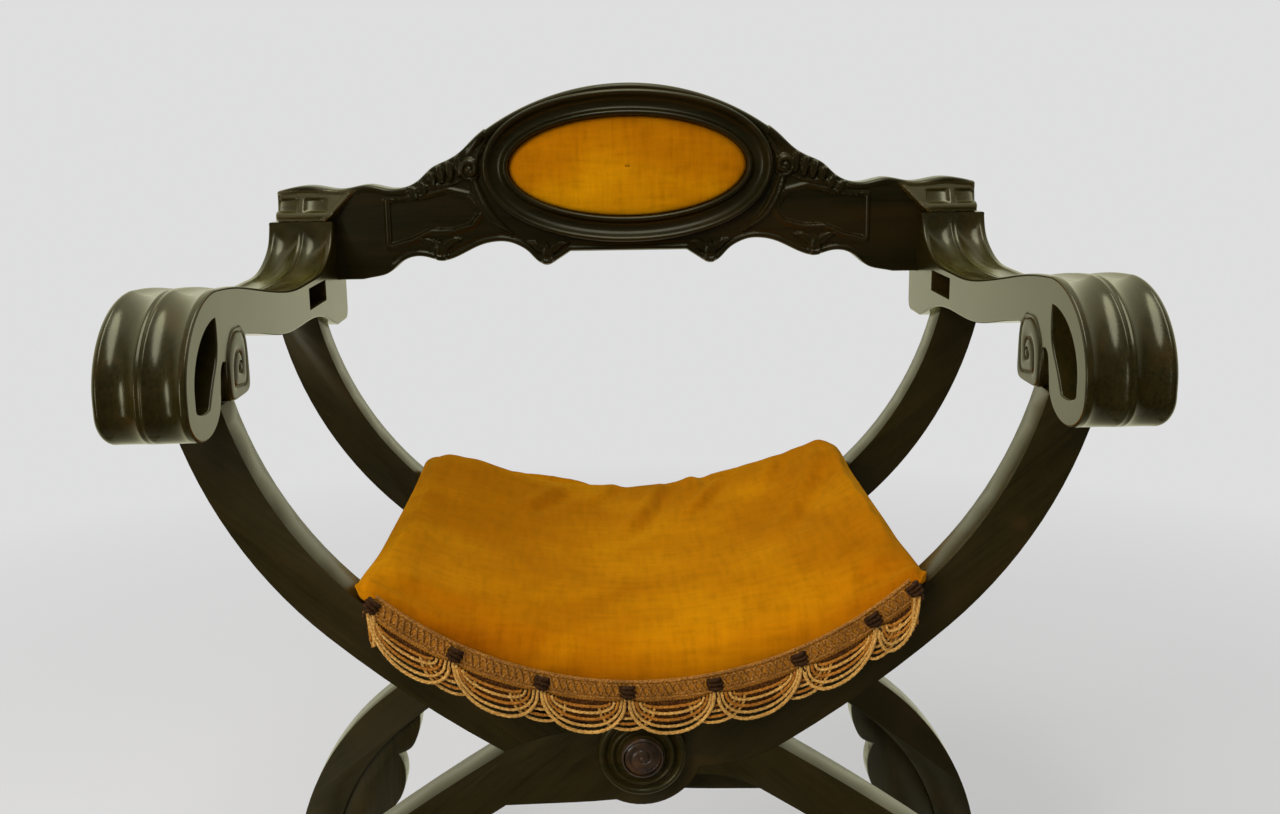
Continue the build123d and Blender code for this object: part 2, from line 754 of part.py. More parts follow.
with BuildPart() as fringe_cords:
    with BuildSketch(frame_plane(seat_front)):
        add(hanging_band(braid_lower, braid_lower + fringe_band, first_angle, last_angle))
        for start, end in zip(nail_angles, nail_angles[1:]):
            with BuildLine():
                swag = ThreePointArc(
                    hanging_point(braid_lower + fringe_band / 2, start),
                    hanging_point(braid_lower + fringe_drop, (start + end) / 2),
                    hanging_point(braid_lower + fringe_band / 2, end),
                )
                Line(swag @ 1, swag @ 0)
            make_face()
    extrude(amount=fringe_thickness)
fringe_cords.part.label = "fringe_cords"
export_step(fringe_cords.part, "parts/fringe_cords.step")

with BuildPart() as fringe_nails:
    with BuildSketch(frame_plane(seat_front - braid_thickness)):
        for angle in nail_angles:
            with Locations(hanging_point(nail_ring, angle)):
                Circle(nail_radius)
    extrude(amount=nail_head)
    fillet(fringe_nails.faces().sort_by(Axis.Y)[: len(nail_angles)].edges(), nail_head / 2)
fringe_nails.part.label = "fringe_nails"
export_step(fringe_nails.part, "parts/fringe_nails.step")


# Backrest: carved panel, oval frame, upholstered oval on its board

panel_back = panel_front + panel_thickness
pin_x = arm_inner + arm_width / 2
pin_y = panel_front + panel_thickness / 2


def screw_places(y):
    """Centres of the screws that hold the oval's board, in its lip."""
    places = []
    for turn in range(screw_count):
        angle = radians(360 / screw_count * (turn + 0.5))
        across = (oval_half_width + oval_board_lip / 2) * cos(angle)
        up = (oval_half_height + oval_board_lip / 2) * sin(angle)
        places.append((across, y, pivot_height + oval_rise + up))
    return places


def panel_points(shares):
    """Points of the backrest's face, from shares of its half width and of its height."""
    return [(across * panel_half_width, ledge_rise + up * panel_height) for across, up in shares]


def panel_face():
    """Front view of the backrest: crest, shoulders, ears and the scalloped lower edge."""
    crest_left, crest, crest_right = panel_points(((-0.431, 0.733), (0, 1), (0.431, 0.733)))
    shoulder_points = panel_points(
        (
            (0.4713, 0.6622), (0.5116, 0.617), (0.5547, 0.5798), (0.592, 0.5186), (0.6323, 0.4814),
            (0.6783, 0.4761), (0.7357, 0.4963), (0.8162, 0.475), (0.8967, 0.4947), (1, 0.4654),
        )
    )
    scallop_points = panel_points(
        (
            (0.7645, 0), (0.7328, 0.0106), (0.6897, 0.0319), (0.6552, 0.0824), (0.625, 0.1117),
            (0.5949, 0.1176), (0.5661, 0.1064), (0.5374, 0.0931), (0.5, 0.1064), (0.4598, 0.141),
            (0.4167, 0.1782), (0.3793, 0.1888), (0.3448, 0.1862), (0.3161, 0.1676), (0.2874, 0.133),
            (0.2586, 0.0798), (0.2342, 0.0638), (0.2069, 0.0798), (0.1667, 0.133),
        )
    )
    with BuildSketch() as face:
        with BuildLine():
            ThreePointArc(crest_left, crest, crest_right)
            shoulder = Spline(crest_right, *shoulder_points)
            foot = Polyline(shoulder @ 1, (panel_half_width, ledge_rise), scallop_points[0])
            scallop = Spline(*scallop_points)
            middle_x, middle_rise = scallop_points[-1]
            Line((-middle_x, middle_rise), (middle_x, middle_rise))
            mirror(shoulder, about=Plane.YZ)
            mirror(foot, about=Plane.YZ)
            mirror(scallop, about=Plane.YZ)
        make_face()
    return face.sketch


def wing_field():
    """Sunken field in the right wing of the backrest."""
    with BuildSketch() as field:
        with BuildLine():
            corners = panel_points(
                (
                    (0.681, 0.1968), (0.6207, 0.2234), (0.5661, 0.266), (0.5, 0.266), (0.4425, 0.2926),
                    (0.4282, 0.3404), (0.477, 0.4362), (0.5201, 0.4362), (0.5776, 0.3936), (0.6839, 0.3351),
                )
            )
            Polyline(*corners, close=True)
        make_face()
        fillet(field.vertices(), 4)
    return field.sketch


with BuildPart() as back_panel:
    with BuildSketch(frame_plane(panel_back)):
        add(panel_face())
        with Locations((0, oval_rise)):
            Ellipse(oval_half_width, oval_half_height, mode=Mode.SUBTRACT)
    extrude(amount=panel_thickness)
    with BuildSketch(frame_plane(panel_back)):
        with Locations((0, oval_rise)):
            Ellipse(oval_half_width + oval_board_lip, oval_half_height + oval_board_lip)
    extrude(amount=oval_board_thickness, mode=Mode.SUBTRACT)
    with BuildSketch(frame_plane(panel_front + wing_field_depth)):
        add(wing_field())
        mirror(wing_field(), about=Plane.YZ)
    extrude(amount=wing_field_depth, mode=Mode.SUBTRACT)
    # a round hole for the left pin, a slot for the right pin
    slot_width = pin_diameter + 2 * pin_clearance
    with BuildSketch(level_plane(ledge_rise, 0, pin_y)):
        with Locations((-pin_x, 0)):
            Circle(slot_width / 2)
        with Locations((pin_x - slot_travel / 2, 0)):
            SlotCenterToCenter(slot_travel, slot_width)
    extrude(amount=pin_height + 1, mode=Mode.SUBTRACT)
    with Locations(*(Plane(place, z_dir=(0, 1, 0)) for place in screw_places(panel_back - oval_board_thickness))):
        Hole(screw_radius / 2, depth=screw_length - oval_board_thickness)
back_panel.part.label = "back_panel"
export_step(back_panel.part, "parts/back_panel.step")

with BuildPart() as oval_frame:
    with BuildSketch(frame_plane(panel_front)):
        with Locations((0, oval_rise)):
            Ellipse(oval_half_width + oval_frame_width, oval_half_height + oval_frame_width)
            Ellipse(oval_half_width, oval_half_height, mode=Mode.SUBTRACT)
    extrude(amount=oval_frame_height)
    fillet(oval_frame.faces().sort_by(Axis.Y)[0].edges(), 3.5)
oval_frame.part.label = "oval_frame"
export_step(oval_frame.part, "parts/oval_frame.step")

with BuildPart() as oval_board:
    with BuildSketch(frame_plane(panel_back)):
        with Locations((0, oval_rise)):
            Ellipse(oval_half_width + oval_board_lip, oval_half_height + oval_board_lip)
    extrude(amount=oval_board_thickness)
    with Locations(*(Plane(place, z_dir=(0, 1, 0)) for place in screw_places(panel_back))):
        Hole(screw_radius / 2)
oval_board.part.label = "oval_board"
export_step(oval_board.part, "parts/oval_board.step")

with BuildPart() as oval_pad:
    pad_back = panel_back - oval_board_thickness
    with BuildSketch(frame_plane(pad_back)):
        with Locations((0, oval_rise)):
            Ellipse(oval_half_width - oval_pad_clearance, oval_half_height - oval_pad_clearance)
    extrude(amount=pad_back - panel_front + oval_pad_proud)
    fillet(oval_pad.faces().sort_by(Axis.Y)[0].edges(), 5)
oval_pad.part.label = "oval_pad"
export_step(oval_pad.part, "parts/oval_pad.step")

with BuildPart() as board_screws:
    for place in screw_places(panel_back):
        with BuildSketch(Plane(place, z_dir=(0, 1, 0))):
            Circle(screw_radius)
        extrude(amount=screw_head)
        with BuildSketch(Plane(place, z_dir=(0, 1, 0))):
            Circle(screw_radius / 2)
        extrude(amount=-screw_length)
board_screws.part.label = "board_screws"
export_step(board_screws.part, "parts/board_screws.step")

for hand, side in (("left", -1), ("right", 1)):
    with BuildPart() as backrest_pin:
        with BuildSketch(level_plane(ledge_rise - pin_depth, side * pin_x, pin_y)):
            Circle(pin_diameter / 2)
        extrude(amount=pin_depth + pin_height)
        chamfer(backrest_pin.edges().group_by(Axis.Z)[-1], 1)
    backrest_pin.part.label = f"backrest_pin_{hand}"
    export_step(backrest_pin.part, f"parts/{backrest_pin.part.label}.step")
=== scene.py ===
"""Looks of the savonarola chair: carved black-stained wood, ochre velvet and a looped fringe."""

import json
from math import asin, cos, pi, radians, sin, sqrt

import bmesh
import bpy
import numpy as np
from mathutils import Matrix, Vector
from mathutils.geometry import tessellate_polygon


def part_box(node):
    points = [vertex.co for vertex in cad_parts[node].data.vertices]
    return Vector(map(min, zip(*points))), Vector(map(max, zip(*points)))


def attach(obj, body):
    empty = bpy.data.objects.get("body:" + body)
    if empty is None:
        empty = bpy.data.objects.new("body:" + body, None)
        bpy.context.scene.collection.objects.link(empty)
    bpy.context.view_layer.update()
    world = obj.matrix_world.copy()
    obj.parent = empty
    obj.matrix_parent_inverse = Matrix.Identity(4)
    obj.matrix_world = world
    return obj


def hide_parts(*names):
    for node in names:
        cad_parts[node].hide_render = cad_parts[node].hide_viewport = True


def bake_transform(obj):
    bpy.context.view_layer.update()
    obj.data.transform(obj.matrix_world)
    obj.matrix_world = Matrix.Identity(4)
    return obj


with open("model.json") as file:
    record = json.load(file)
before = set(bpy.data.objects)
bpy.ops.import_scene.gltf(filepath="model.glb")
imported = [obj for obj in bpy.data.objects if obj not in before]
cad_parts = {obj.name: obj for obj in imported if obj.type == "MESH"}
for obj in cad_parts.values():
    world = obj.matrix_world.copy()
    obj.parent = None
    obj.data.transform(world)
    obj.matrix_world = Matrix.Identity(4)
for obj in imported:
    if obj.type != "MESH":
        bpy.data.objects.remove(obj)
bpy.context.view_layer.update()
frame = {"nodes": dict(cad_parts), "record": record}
nodes = frame["nodes"]
record_body = {n: b for b, names in frame["record"]["behaviour"]["bodies"].items() for n in names}
record_slot = {part["node"]: part["material_slot"] for part in frame["record"]["subparts"]}

# Sizes are in millimetres. "Rise" is measured from the fold's axis, and depth goes to the back.
MM = 0.001
PIVOT = 395.0  # height of the fold's axis
FRONT_FACE, BACK_FACE = -183.0, 183.0  # outer faces of the X frames
ARM_FRONT, ARM_REAR = -268.0, 253.0
ARM_INNER, ARM_WIDTH = 289.93, 62.0
FLUTES = (16.6, 45.4)  # centres of an arm's flutes, from its inner face
PANEL_FRONT, PANEL_BACK = 217.3, 245.3
PANEL_HALF = 345.0
LEDGE = 312.0  # where the panel stands on the arms
OVAL_RISE = 420.0
OVAL_A, OVAL_B = 118.0, 49.0  # half axes of the opening
FRAME_WIDTH = 25.5  # of the moulding round it
PAD_HALF, PAD_REACH = 208.0, 200.0  # half width and half depth of the seat's pad
SEAT_FRONT = -203.0
SEAT_CENTRE, UNDER_RADIUS = 438.0, 376.0  # arc of the pad's underside
FRINGE_CENTRE, FRINGE_RADIUS = 355.1, 301.3  # the front edge hangs in a deeper curve than the frame's

# The camera, fitted to the photo: metres and degrees.
CAMERA_PLACE = (-0.0142, -1.093, 0.859)
CAMERA_PITCH, CAMERA_YAW, CAMERA_ROLL = 12.37, -1.02, -0.80
CAMERA_LENS, CAMERA_SENSOR = 36.79, 36.0


def make_camera():
    data = bpy.data.cameras.new("camera")
    data.sensor_width = CAMERA_SENSOR
    data.lens = CAMERA_LENS
    camera = bpy.data.objects.new("camera", data)
    bpy.context.scene.collection.objects.link(camera)
    bpy.context.scene.camera = camera
    pitch, roll = radians(CAMERA_PITCH), radians(CAMERA_ROLL)
    forward = Vector((0, cos(pitch), -sin(pitch)))
    up = Vector((0, sin(pitch), cos(pitch)))
    right = Vector((1, 0, 0))
    turn = Matrix.Rotation(radians(CAMERA_YAW), 3, "Z")
    rolled_right = turn @ (cos(roll) * right + sin(roll) * up)
    rolled_up = turn @ (cos(roll) * up - sin(roll) * right)
    axes = Matrix((rolled_right, rolled_up, -(turn @ forward))).transposed()
    camera.matrix_world = Matrix.Translation(CAMERA_PLACE) @ axes.to_4x4()


make_camera()


# ---------------------------------------------------------------- curves and profiles


def step(a, b, t):
    """0 before a, 1 after b, and smooth between."""
    t = np.clip((np.asarray(t, float) - a) / (b - a), 0, 1)
    return t * t * (3 - 2 * t)


def bow(t):
    """Height of a unit circle over t, and 0 outside it."""
    return np.sqrt(np.clip(1 - np.square(t), 0, 1))


def mound(distance, half):
    """Round bead: 1 on its line, 0 at half its width."""
    return bow(distance / half)


def rounding(distance, radius):
    """How far a rounded edge is cut back at a distance from it."""
    return radius * (1 - bow(1 - np.clip(distance / radius, 0, 1)))


def length_along(points):
    """Length from the first point of a path to each of its points."""
    return np.concatenate([[0], np.cumsum(np.linalg.norm(np.diff(points, axis=0), axis=1))])


def natural_spline(points, count):
    """Points along a smooth curve through the given points."""
    p = np.array(points, float)
    t = length_along(p)
    n = len(p)
    h = np.diff(t)
    a = np.zeros((n, n))
    b = np.zeros((n, p.shape[1]))
    a[0, 0] = a[-1, -1] = 1
    for i in range(1, n - 1):
        a[i, i - 1], a[i, i], a[i, i + 1] = h[i - 1], 2 * (h[i - 1] + h[i]), h[i]
        b[i] = 6 * ((p[i + 1] - p[i]) / h[i] - (p[i] - p[i - 1]) / h[i - 1])
    m = np.linalg.solve(a, b)
    s = np.linspace(0, t[-1], count)
    i = np.clip(np.searchsorted(t, s, side="right") - 1, 0, n - 2)
    u, v = (t[i + 1] - s)[:, None], (s - t[i])[:, None]
    w = h[i][:, None]
    bent = m[i] * u**3 / (6 * w) + m[i + 1] * v**3 / (6 * w)
    return bent + (p[i] / w - m[i] * w / 6) * u + (p[i + 1] / w - m[i + 1] * w / 6) * v


def oval_arc(centre, across, up, start, end, count):
    """Points on an elliptical arc, angles in degrees from +X towards +Y."""
    t = np.radians(np.linspace(start, end, count))
    return np.stack([centre[0] + across * np.cos(t), centre[1] + up * np.sin(t)], axis=1)


def arc(centre, radius, start, end, count):
    return oval_arc(centre, radius, radius, start, end, count)


def around(count):
    """Angles of a full turn, as one row."""
    return np.linspace(0, 2 * pi, count, endpoint=False)[None, :]


# ---------------------------------------------------------------- mesh tools


def grid_faces(rows, columns, first=0, wrap=False, flip=False):
    """Quads between rows of points; wrap joins the last column to the first one."""
    spans = columns if wrap else columns - 1
    row, column = np.meshgrid(np.arange(rows - 1), np.arange(spans), indexing="ij")
    here = first + row * columns
    after = (column + 1) % columns
    corners = [here + column, here + after, here + columns + after, here + columns + column]
    quads = np.stack(corners, axis=-1).reshape(-1, 4)
    return (quads[:, ::-1] if flip else quads).tolist()


def ring_faces(rows, columns, wrap=False):
    """Quads between rows of points whose last row meets the first one."""
    return (np.array(grid_faces(rows + 1, columns, wrap=wrap)) % (rows * columns)).tolist()


def grid_points(x, y, z):
    """A grid of points from coordinates that are each a grid, a row, a column or one number."""
    return np.stack(np.broadcast_arrays(x, y, z), axis=-1)


def listed(*grids):
    """The points of several grids, one after another."""
    return np.concatenate([grid.reshape(-1, 3) for grid in grids])


def slab(front, back):
    """Points and faces of a sheet: two grids of points, and walls round their edges."""
    rows, columns = front.shape[:2]
    count = rows * columns
    index = np.arange(count).reshape(rows, columns)
    faces = grid_faces(rows, columns, flip=True) + grid_faces(rows, columns, first=count)
    for edge in (index[0], index[-1, ::-1], index[::-1, 0], index[:, -1]):
        walk = edge.tolist()
        faces += [[a, b, count + b, count + a] for a, b in zip(walk, walk[1:])]
    return listed(front, back), faces


def tube(path, radius, sides=8, twist=0.0, lobes=0.0, closed=False):
    """Points and faces of a tube along a path. Twist is turns of its lobes per millimetre."""
    p = np.array(path, float)
    n = len(p)
    if closed:
        tangent = np.roll(p, -1, 0) - np.roll(p, 1, 0)
    else:
        tangent = np.gradient(p, axis=0)
    tangent /= np.linalg.norm(tangent, axis=1)[:, None] + 1e-12
    side = np.cross(tangent, np.array([0.0, 1.0, 0.0]))
    weak = np.linalg.norm(side, axis=1) < 0.2
    side[weak] = np.cross(tangent[weak], np.array([0.0, 0.0, 1.0]))
    side /= np.linalg.norm(side, axis=1)[:, None]
    out = np.cross(side, tangent)
    run = length_along(p)[:, None]
    radius = np.broadcast_to(np.asarray(radius, float), (n,))[:, None]
    t = around(sides)
    r = radius * (1 + lobes * np.cos(2 * t - 2 * pi * twist * run))
    points = p[:, None, :] + side[:, None, :] * (r * np.cos(t))[:, :, None]
    points = (points + out[:, None, :] * (r * np.sin(t))[:, :, None]).reshape(-1, 3)
    if closed:
        return points, ring_faces(n, sides, wrap=True)
    ends = [list(range(sides - 1, -1, -1)), list(range((n - 1) * sides, n * sides))]
    return points, grid_faces(n, sides, wrap=True) + ends


def merged(parts):
    """Several (points, faces) as one."""
    points, faces, first = [], [], 0
    for p, f in parts:
        points.append(np.asarray(p, float))
        faces += [[i + first for i in face] for face in f]
        first += len(p)
    return np.concatenate(points), faces


def piece(name, points, faces, material, body=None, slot=None, replaces=(), sharp=40.0):
    """A named piece from points in millimetres: across, depth and rise."""
    co = np.array(points, float) * MM
    co[:, 2] += PIVOT * MM
    mesh = bpy.data.meshes.new(name)
    mesh.from_pydata(co.tolist(), [], faces)
    mesh.validate()
    return dress(name, mesh, material, body, replaces, sharp)


def dress(name, mesh, material, body=None, replaces=(), sharp=40.0):
    """Makes a mesh a named piece with its material, its body and the CAD nodes it stands for."""
    mesh.name = name
    mesh.materials.clear()
    mesh.materials.append(material)
    mesh.shade_smooth()
    if sharp:
        mesh.set_sharp_from_angle(angle=radians(sharp))
    obj = bpy.data.objects.new(name, mesh)
    bpy.context.scene.collection.objects.link(obj)
    if body:
        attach(obj, body)
    if replaces:
        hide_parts(*replaces)
    return obj


def baked(obj):
    """The object's mesh with its modifiers applied."""
    bpy.context.view_layer.update()
    shown = obj.evaluated_get(bpy.context.evaluated_depsgraph_get())
    return bpy.data.meshes.new_from_object(shown)


def apply_modifier(obj, kind, **settings):
    """Runs one modifier and keeps its result as the object's mesh."""
    modifier = obj.modifiers.new(kind.lower(), kind)
    for key, value in settings.items():
        setattr(modifier, key, value)
    mesh = baked(obj)
    obj.modifiers.remove(modifier)
    old = obj.data
    obj.data = mesh
    bpy.data.meshes.remove(old)


# ---------------------------------------------------------------- materials


ALONG_X = (0, 0, 0)
ALONG_Y = (0, 0, radians(90))
ALONG_Z = (0, radians(90), 0)


class Nodes:
    """Short calls that build a node tree."""

    def __init__(self, tree):
        self.tree = tree

    def feed(self, socket, value):
        """Links a socket to another one, or sets it; a colour of three numbers gets its alpha."""
        if isinstance(value, bpy.types.NodeSocket):
            self.tree.links.new(value, socket)
        elif isinstance(value, tuple):
            socket.default_value = (*value, 1)
        else:
            socket.default_value = value

    def node(self, kind, inputs=None, **settings):
        """A new node, with its inputs by name or number."""
        made = self.tree.nodes.new(kind)
        for key, value in settings.items():
            setattr(made, key, value)
        for key, value in (inputs or {}).items():
            self.feed(made.inputs[key], value)
        return made

    def ramp(self, value, *stops):
        """Colours or greys between stops."""
        made = self.node("ShaderNodeValToRGB", {"Fac": value})
        while len(made.color_ramp.elements) < len(stops):
            made.color_ramp.elements.new(0.5)
        for element, (at, colour) in zip(made.color_ramp.elements, stops):
            element.position = at
            element.color = (*colour, 1) if isinstance(colour, tuple) else (colour, colour, colour, 1)
        return made.outputs["Color"]

    def mix(self, share, a, b, blend="MIX"):
        inputs = {0: share, 6: a, 7: b}
        return self.node("ShaderNodeMix", inputs, data_type="RGBA", blend_type=blend).outputs[2]

    def math(self, operation, *values):
        return self.node("ShaderNodeMath", dict(enumerate(values)), operation=operation).outputs[0]

    def either(self, share, first, second):
        """The second shader by its share, and the first one otherwise."""
        return self.node("ShaderNodeMixShader", {0: share, 1: first, 2: second}).outputs[0]


class Shader(Nodes):
    """A material and its node tree."""

    def __init__(self, name):
        self.material = bpy.data.materials.new(name)
        self.material.use_nodes = True
        super().__init__(self.material.node_tree)
        self.bsdf = self.tree.nodes["Principled BSDF"]

    def place(self, scale, turn=ALONG_X):
        """Object coordinates in metres, turned and then scaled."""
        coordinates = self.node("ShaderNodeTexCoord").outputs["Object"]
        mapping = self.node("ShaderNodeMapping", {"Vector": coordinates}, vector_type="TEXTURE")
        mapping.inputs["Rotation"].default_value = turn
        stretch = self.node("ShaderNodeMapping", {"Vector": mapping.outputs["Vector"]})
        stretch.inputs["Scale"].default_value = scale if isinstance(scale, tuple) else (scale,) * 3
        return stretch.outputs["Vector"]

    def noise(self, scale, detail, rough, distort=0.0, turn=ALONG_X):
        """Noise with a scale, or one for each axis."""
        inputs = {"Vector": self.place(scale, turn), "Scale": 1.0, "Detail": detail}
        inputs |= {"Roughness": rough, "Distortion": distort}
        return self.node("ShaderNodeTexNoise", inputs).outputs["Fac"]

    def bump(self, height, strength, distance, normal=None):
        inputs = {"Strength": strength, "Distance": distance, "Height": height}
        if normal is not None:
            inputs["Normal"] = normal
        return self.node("ShaderNodeBump", inputs).outputs["Normal"]

    def set(self, **values):
        """Inputs of the main shader, with underscores for spaces."""
        for key, value in values.items():
            self.feed(self.bsdf.inputs[key.replace("_", " ")], value)
        return self.material


def stained_wood(name, turn, gloss=1.0, depth=1.0, dull=1.0):
    """Black-brown stained walnut under a gloss polish, the grain along X before the turn."""
    s = Shader(name)
    fine = s.noise((18, 420, 420), 5, 0.6, turn=turn)
    broad = s.noise((3, 38, 38), 3, 0.5, 0.6, turn)
    worn = s.noise(9, 4, 0.6, turn=turn)
    wavy = s.noise((16, 30, 30), 2, 0.5, turn=turn)
    dark, middle, light = (0.0085, 0.0070, 0.0022), (0.0135, 0.0112, 0.0036), (0.026, 0.0150, 0.0045)
    base = s.ramp(broad, (0.3, dark), (0.52, middle), (0.72, light))
    base = s.mix(s.ramp(fine, (0.42, 0.0), (0.7, 0.55)), base, (0.027, 0.0175, 0.0060))
    base = s.mix(0.6, base, s.ramp(fine, (0.3, 0.55), (0.42, 1.0)), "MULTIPLY")
    edges = s.node("ShaderNodeNewGeometry").outputs["Pointiness"]
    rubbed = s.ramp(edges, (0.515, 0.0), (0.58, 1.0))
    patchy = s.math("MULTIPLY", rubbed, s.ramp(worn, (0.45, 0.05), (0.7, 0.75)))
    base = s.mix(patchy, base, (0.060, 0.030, 0.010))
    # depth scales the colour: the hoods' lighter copy is a painted highlight; the backrest's copy is only
    # made darker
    base = s.mix(1.0, base, (depth, depth * 0.98, depth * 0.92), "MULTIPLY")
    s.set(Base_Color=base, Roughness=s.ramp(worn, (0.3, 0.25 * dull), (0.75, 0.37 * dull)), IOR=1.5)
    s.set(Coat_Weight=0.8, Coat_Roughness=0.22 * dull, Coat_IOR=1.12, Coat_Tint=(1.0, 0.985, 0.60))
    normal = s.bump(wavy, 0.12, 0.002, s.bump(fine, 0.10, 0.0006))
    return s.set(Specular_IOR_Level=0.5 * gloss, Normal=normal)


def rubbed_wood(name):
    """The same wood where its stain has worn off the carving to red-brown."""
    s = Shader(name)
    fine = s.noise(240, 4, 0.6)
    patch = s.noise(70, 3, 0.5)
    dark, middle, light = (0.014, 0.009, 0.004), (0.038, 0.018, 0.006), (0.075, 0.032, 0.009)
    base = s.ramp(patch, (0.32, dark), (0.56, middle), (0.74, light))
    base = s.mix(0.6, base, s.ramp(fine, (0.3, 0.55), (0.6, 1.1)), "MULTIPLY")
    s.set(Base_Color=base, Roughness=0.36, Coat_Weight=0.5, Coat_Roughness=0.25)
    return s.set(Normal=s.bump(fine, 0.2, 0.0006))


def velvet(name, painted_light_gain=1.0):
    """Golden ochre velvet over a slubbed ground, with a painted sheen: paler where the surface is seen from
    the side.
    """
    s = Shader(name)
    lengthwise = s.noise((190, 28, 28), 3, 0.6)
    crosswise = s.noise((30, 170, 170), 3, 0.6)
    cloud = s.noise(7, 3, 0.5, 0.4)
    pile = s.noise(1500, 2, 0.6)
    slub = s.math("MULTIPLY", s.math("ADD", lengthwise, crosswise), 0.5)
    dark, middle, light = (0.262, 0.070, 0.0008), (0.340, 0.104, 0.0010), (0.46, 0.172, 0.0014)
    base = s.ramp(cloud, (0.3, dark), (0.5, middle), (0.72, light))
    base = s.mix(0.85, base, s.ramp(slub, (0.36, 0.80), (0.5, 1.0), (0.64, 1.13)), "MULTIPLY")
    # Painted light: a gain above 1 makes a lighter, yellower copy of the velvet, used on the upright oval.
    base = s.mix(1.0, base, (painted_light_gain, painted_light_gain * 1.16 if painted_light_gain > 1 else 1.0, painted_light_gain), "MULTIPLY")
    base = s.mix(0.5, base, s.ramp(pile, (0.3, 0.78), (0.7, 1.12)), "MULTIPLY")
    # Painted sheen: a pale yellow mixed in by the Facing weight, where the surface is seen edge-on.
    rim = s.node("ShaderNodeLayerWeight", {"Blend": 0.35}).outputs["Facing"]
    base = s.mix(s.math("MULTIPLY", rim, 0.14), base, (0.86, 0.46, 0.012))
    s.set(Base_Color=base, Roughness=0.8, Specular_IOR_Level=0.0)
    s.set(Sheen_Weight=0.16, Sheen_Roughness=0.35, Sheen_Tint=(1.0, 0.68, 0.07))
    height = s.math("ADD", slub, s.math("MULTIPLY", pile, 0.35))
    return s.set(Normal=s.bump(height, 0.35, 0.0008))


def thread(name, sheen, dark, light, pale):
    """Silky twisted thread."""
    s = Shader(name)
    fine = s.noise(700, 3, 0.6)
    patch = s.noise(60, 2, 0.5)
    base = s.ramp(fine, (0.32, dark), (0.52, light), (0.7, pale))
    base = s.mix(0.5, base, s.ramp(patch, (0.35, 0.6), (0.65, 1.15)), "MULTIPLY")
    s.set(Base_Color=base, Roughness=0.62, Specular_IOR_Level=0.12)
    s.set(Sheen_Weight=sheen, Sheen_Roughness=0.4, Sheen_Tint=(1.0, 0.72, 0.25))
    return s.set(Normal=s.bump(fine, 0.5, 0.0005))


def dull_metal(name):
    s = Shader(name)
    brushed = s.noise((60, 900, 60), 3, 0.6)
    base = s.ramp(brushed, (0.3, (0.20, 0.19, 0.175)), (0.7, (0.36, 0.345, 0.32)))
    s.set(Base_Color=base, Metallic=1.0, Roughness=s.ramp(brushed, (0.3, 0.32), (0.7, 0.48)))
    return s.set(Normal=s.bump(brushed, 0.15, 0.0003))


def plain_wood(name, turn, dark, light):
    s = Shader(name)
    fine = s.noise((14, 300, 300), 5, 0.6, turn=turn)
    s.set(Base_Color=s.ramp(fine, (0.32, dark), (0.68, light)), Roughness=0.62)
    return s.set(Normal=s.bump(fine, 0.2, 0.0006))


def canvas(name):
    """Plain weave: bands across and bands along."""
    s = Shader(name)
    inputs = {"Vector": s.place(1), "Scale": 190, "Distortion": 0.6}
    threads = [
        s.node("ShaderNodeTexWave", inputs, wave_type="BANDS", bands_direction=way).outputs["Fac"]
        for way in ("X", "Y")
    ]
    weave = s.math("MULTIPLY", *threads)
    base = s.mix(weave, (0.16, 0.115, 0.065), (0.36, 0.27, 0.165))
    base = s.mix(0.4, base, s.ramp(s.noise(12, 3, 0.5), (0.35, 0.75), (0.65, 1.1)), "MULTIPLY")
    s.set(Base_Color=base, Roughness=0.9)
    return s.set(Normal=s.bump(weave, 0.4, 0.0008))


LEG_LEAN = radians(40)
wood_across = stained_wood("wood_across", ALONG_X)
wood_deep = stained_wood("wood_deep", ALONG_Y)
wood_arm = stained_wood("wood_arm", ALONG_Y, dull=0.72)
# The hoods' copy is lightened 1.8 times: a painted highlight on their upturned faces.
wood_hood_painted_highlight = stained_wood("wood_hood_painted_highlight", ALONG_X, gloss=1.7, depth=1.8, dull=0.9)
wood_right_leg = stained_wood("wood_right_leg", (0, -LEG_LEAN, 0))
wood_left_leg = stained_wood("wood_left_leg", (0, LEG_LEAN, 0))
wood_upright = stained_wood("wood_upright", ALONG_Z)
wood_backrest = stained_wood("wood_backrest", ALONG_X, gloss=0.62, depth=0.62)
wood_rubbed = rubbed_wood("wood_rubbed")
seat_velvet = velvet("ochre_velvet")
# The oval's copy of the velvet is lightened by 1.22: painted light.
oval_velvet = velvet("ochre_velvet_oval_painted_light", painted_light_gain=1.22)
cord_cream = thread("cord_cream", 0.25, (0.26, 0.11, 0.018), (0.46, 0.235, 0.05), (0.66, 0.41, 0.13))
cord_header = thread("cord_header", 0.12, (0.11, 0.036, 0.004), (0.25, 0.098, 0.014), (0.40, 0.19, 0.040))
cord_orange = thread("cord_orange", 0.25, (0.16, 0.045, 0.004), (0.32, 0.115, 0.010), (0.44, 0.19, 0.028))
braid_ground = thread("braid_ground", 0.25, (0.17, 0.050, 0.003), (0.31, 0.115, 0.007), (0.40, 0.17, 0.012))
skirt_brown = thread("skirt_brown", 0.05, (0.022, 0.0065, 0.001), (0.06, 0.019, 0.0022), (0.15, 0.055, 0.006))
knot_brown = thread("knot_brown", 0.0, (0.018, 0.007, 0.0018), (0.034, 0.013, 0.003), (0.06, 0.025, 0.006))
steel = dull_metal("dull_steel")
dowel_wood = plain_wood("beech", ALONG_Z, (0.33, 0.21, 0.10), (0.50, 0.34, 0.18))
board_wood = plain_wood("board", ALONG_X, (0.075, 0.042, 0.02), (0.14, 0.082, 0.042))
sling_canvas = canvas("sling_canvas")


# ---------------------------------------------------------------- carried-over CAD nodes


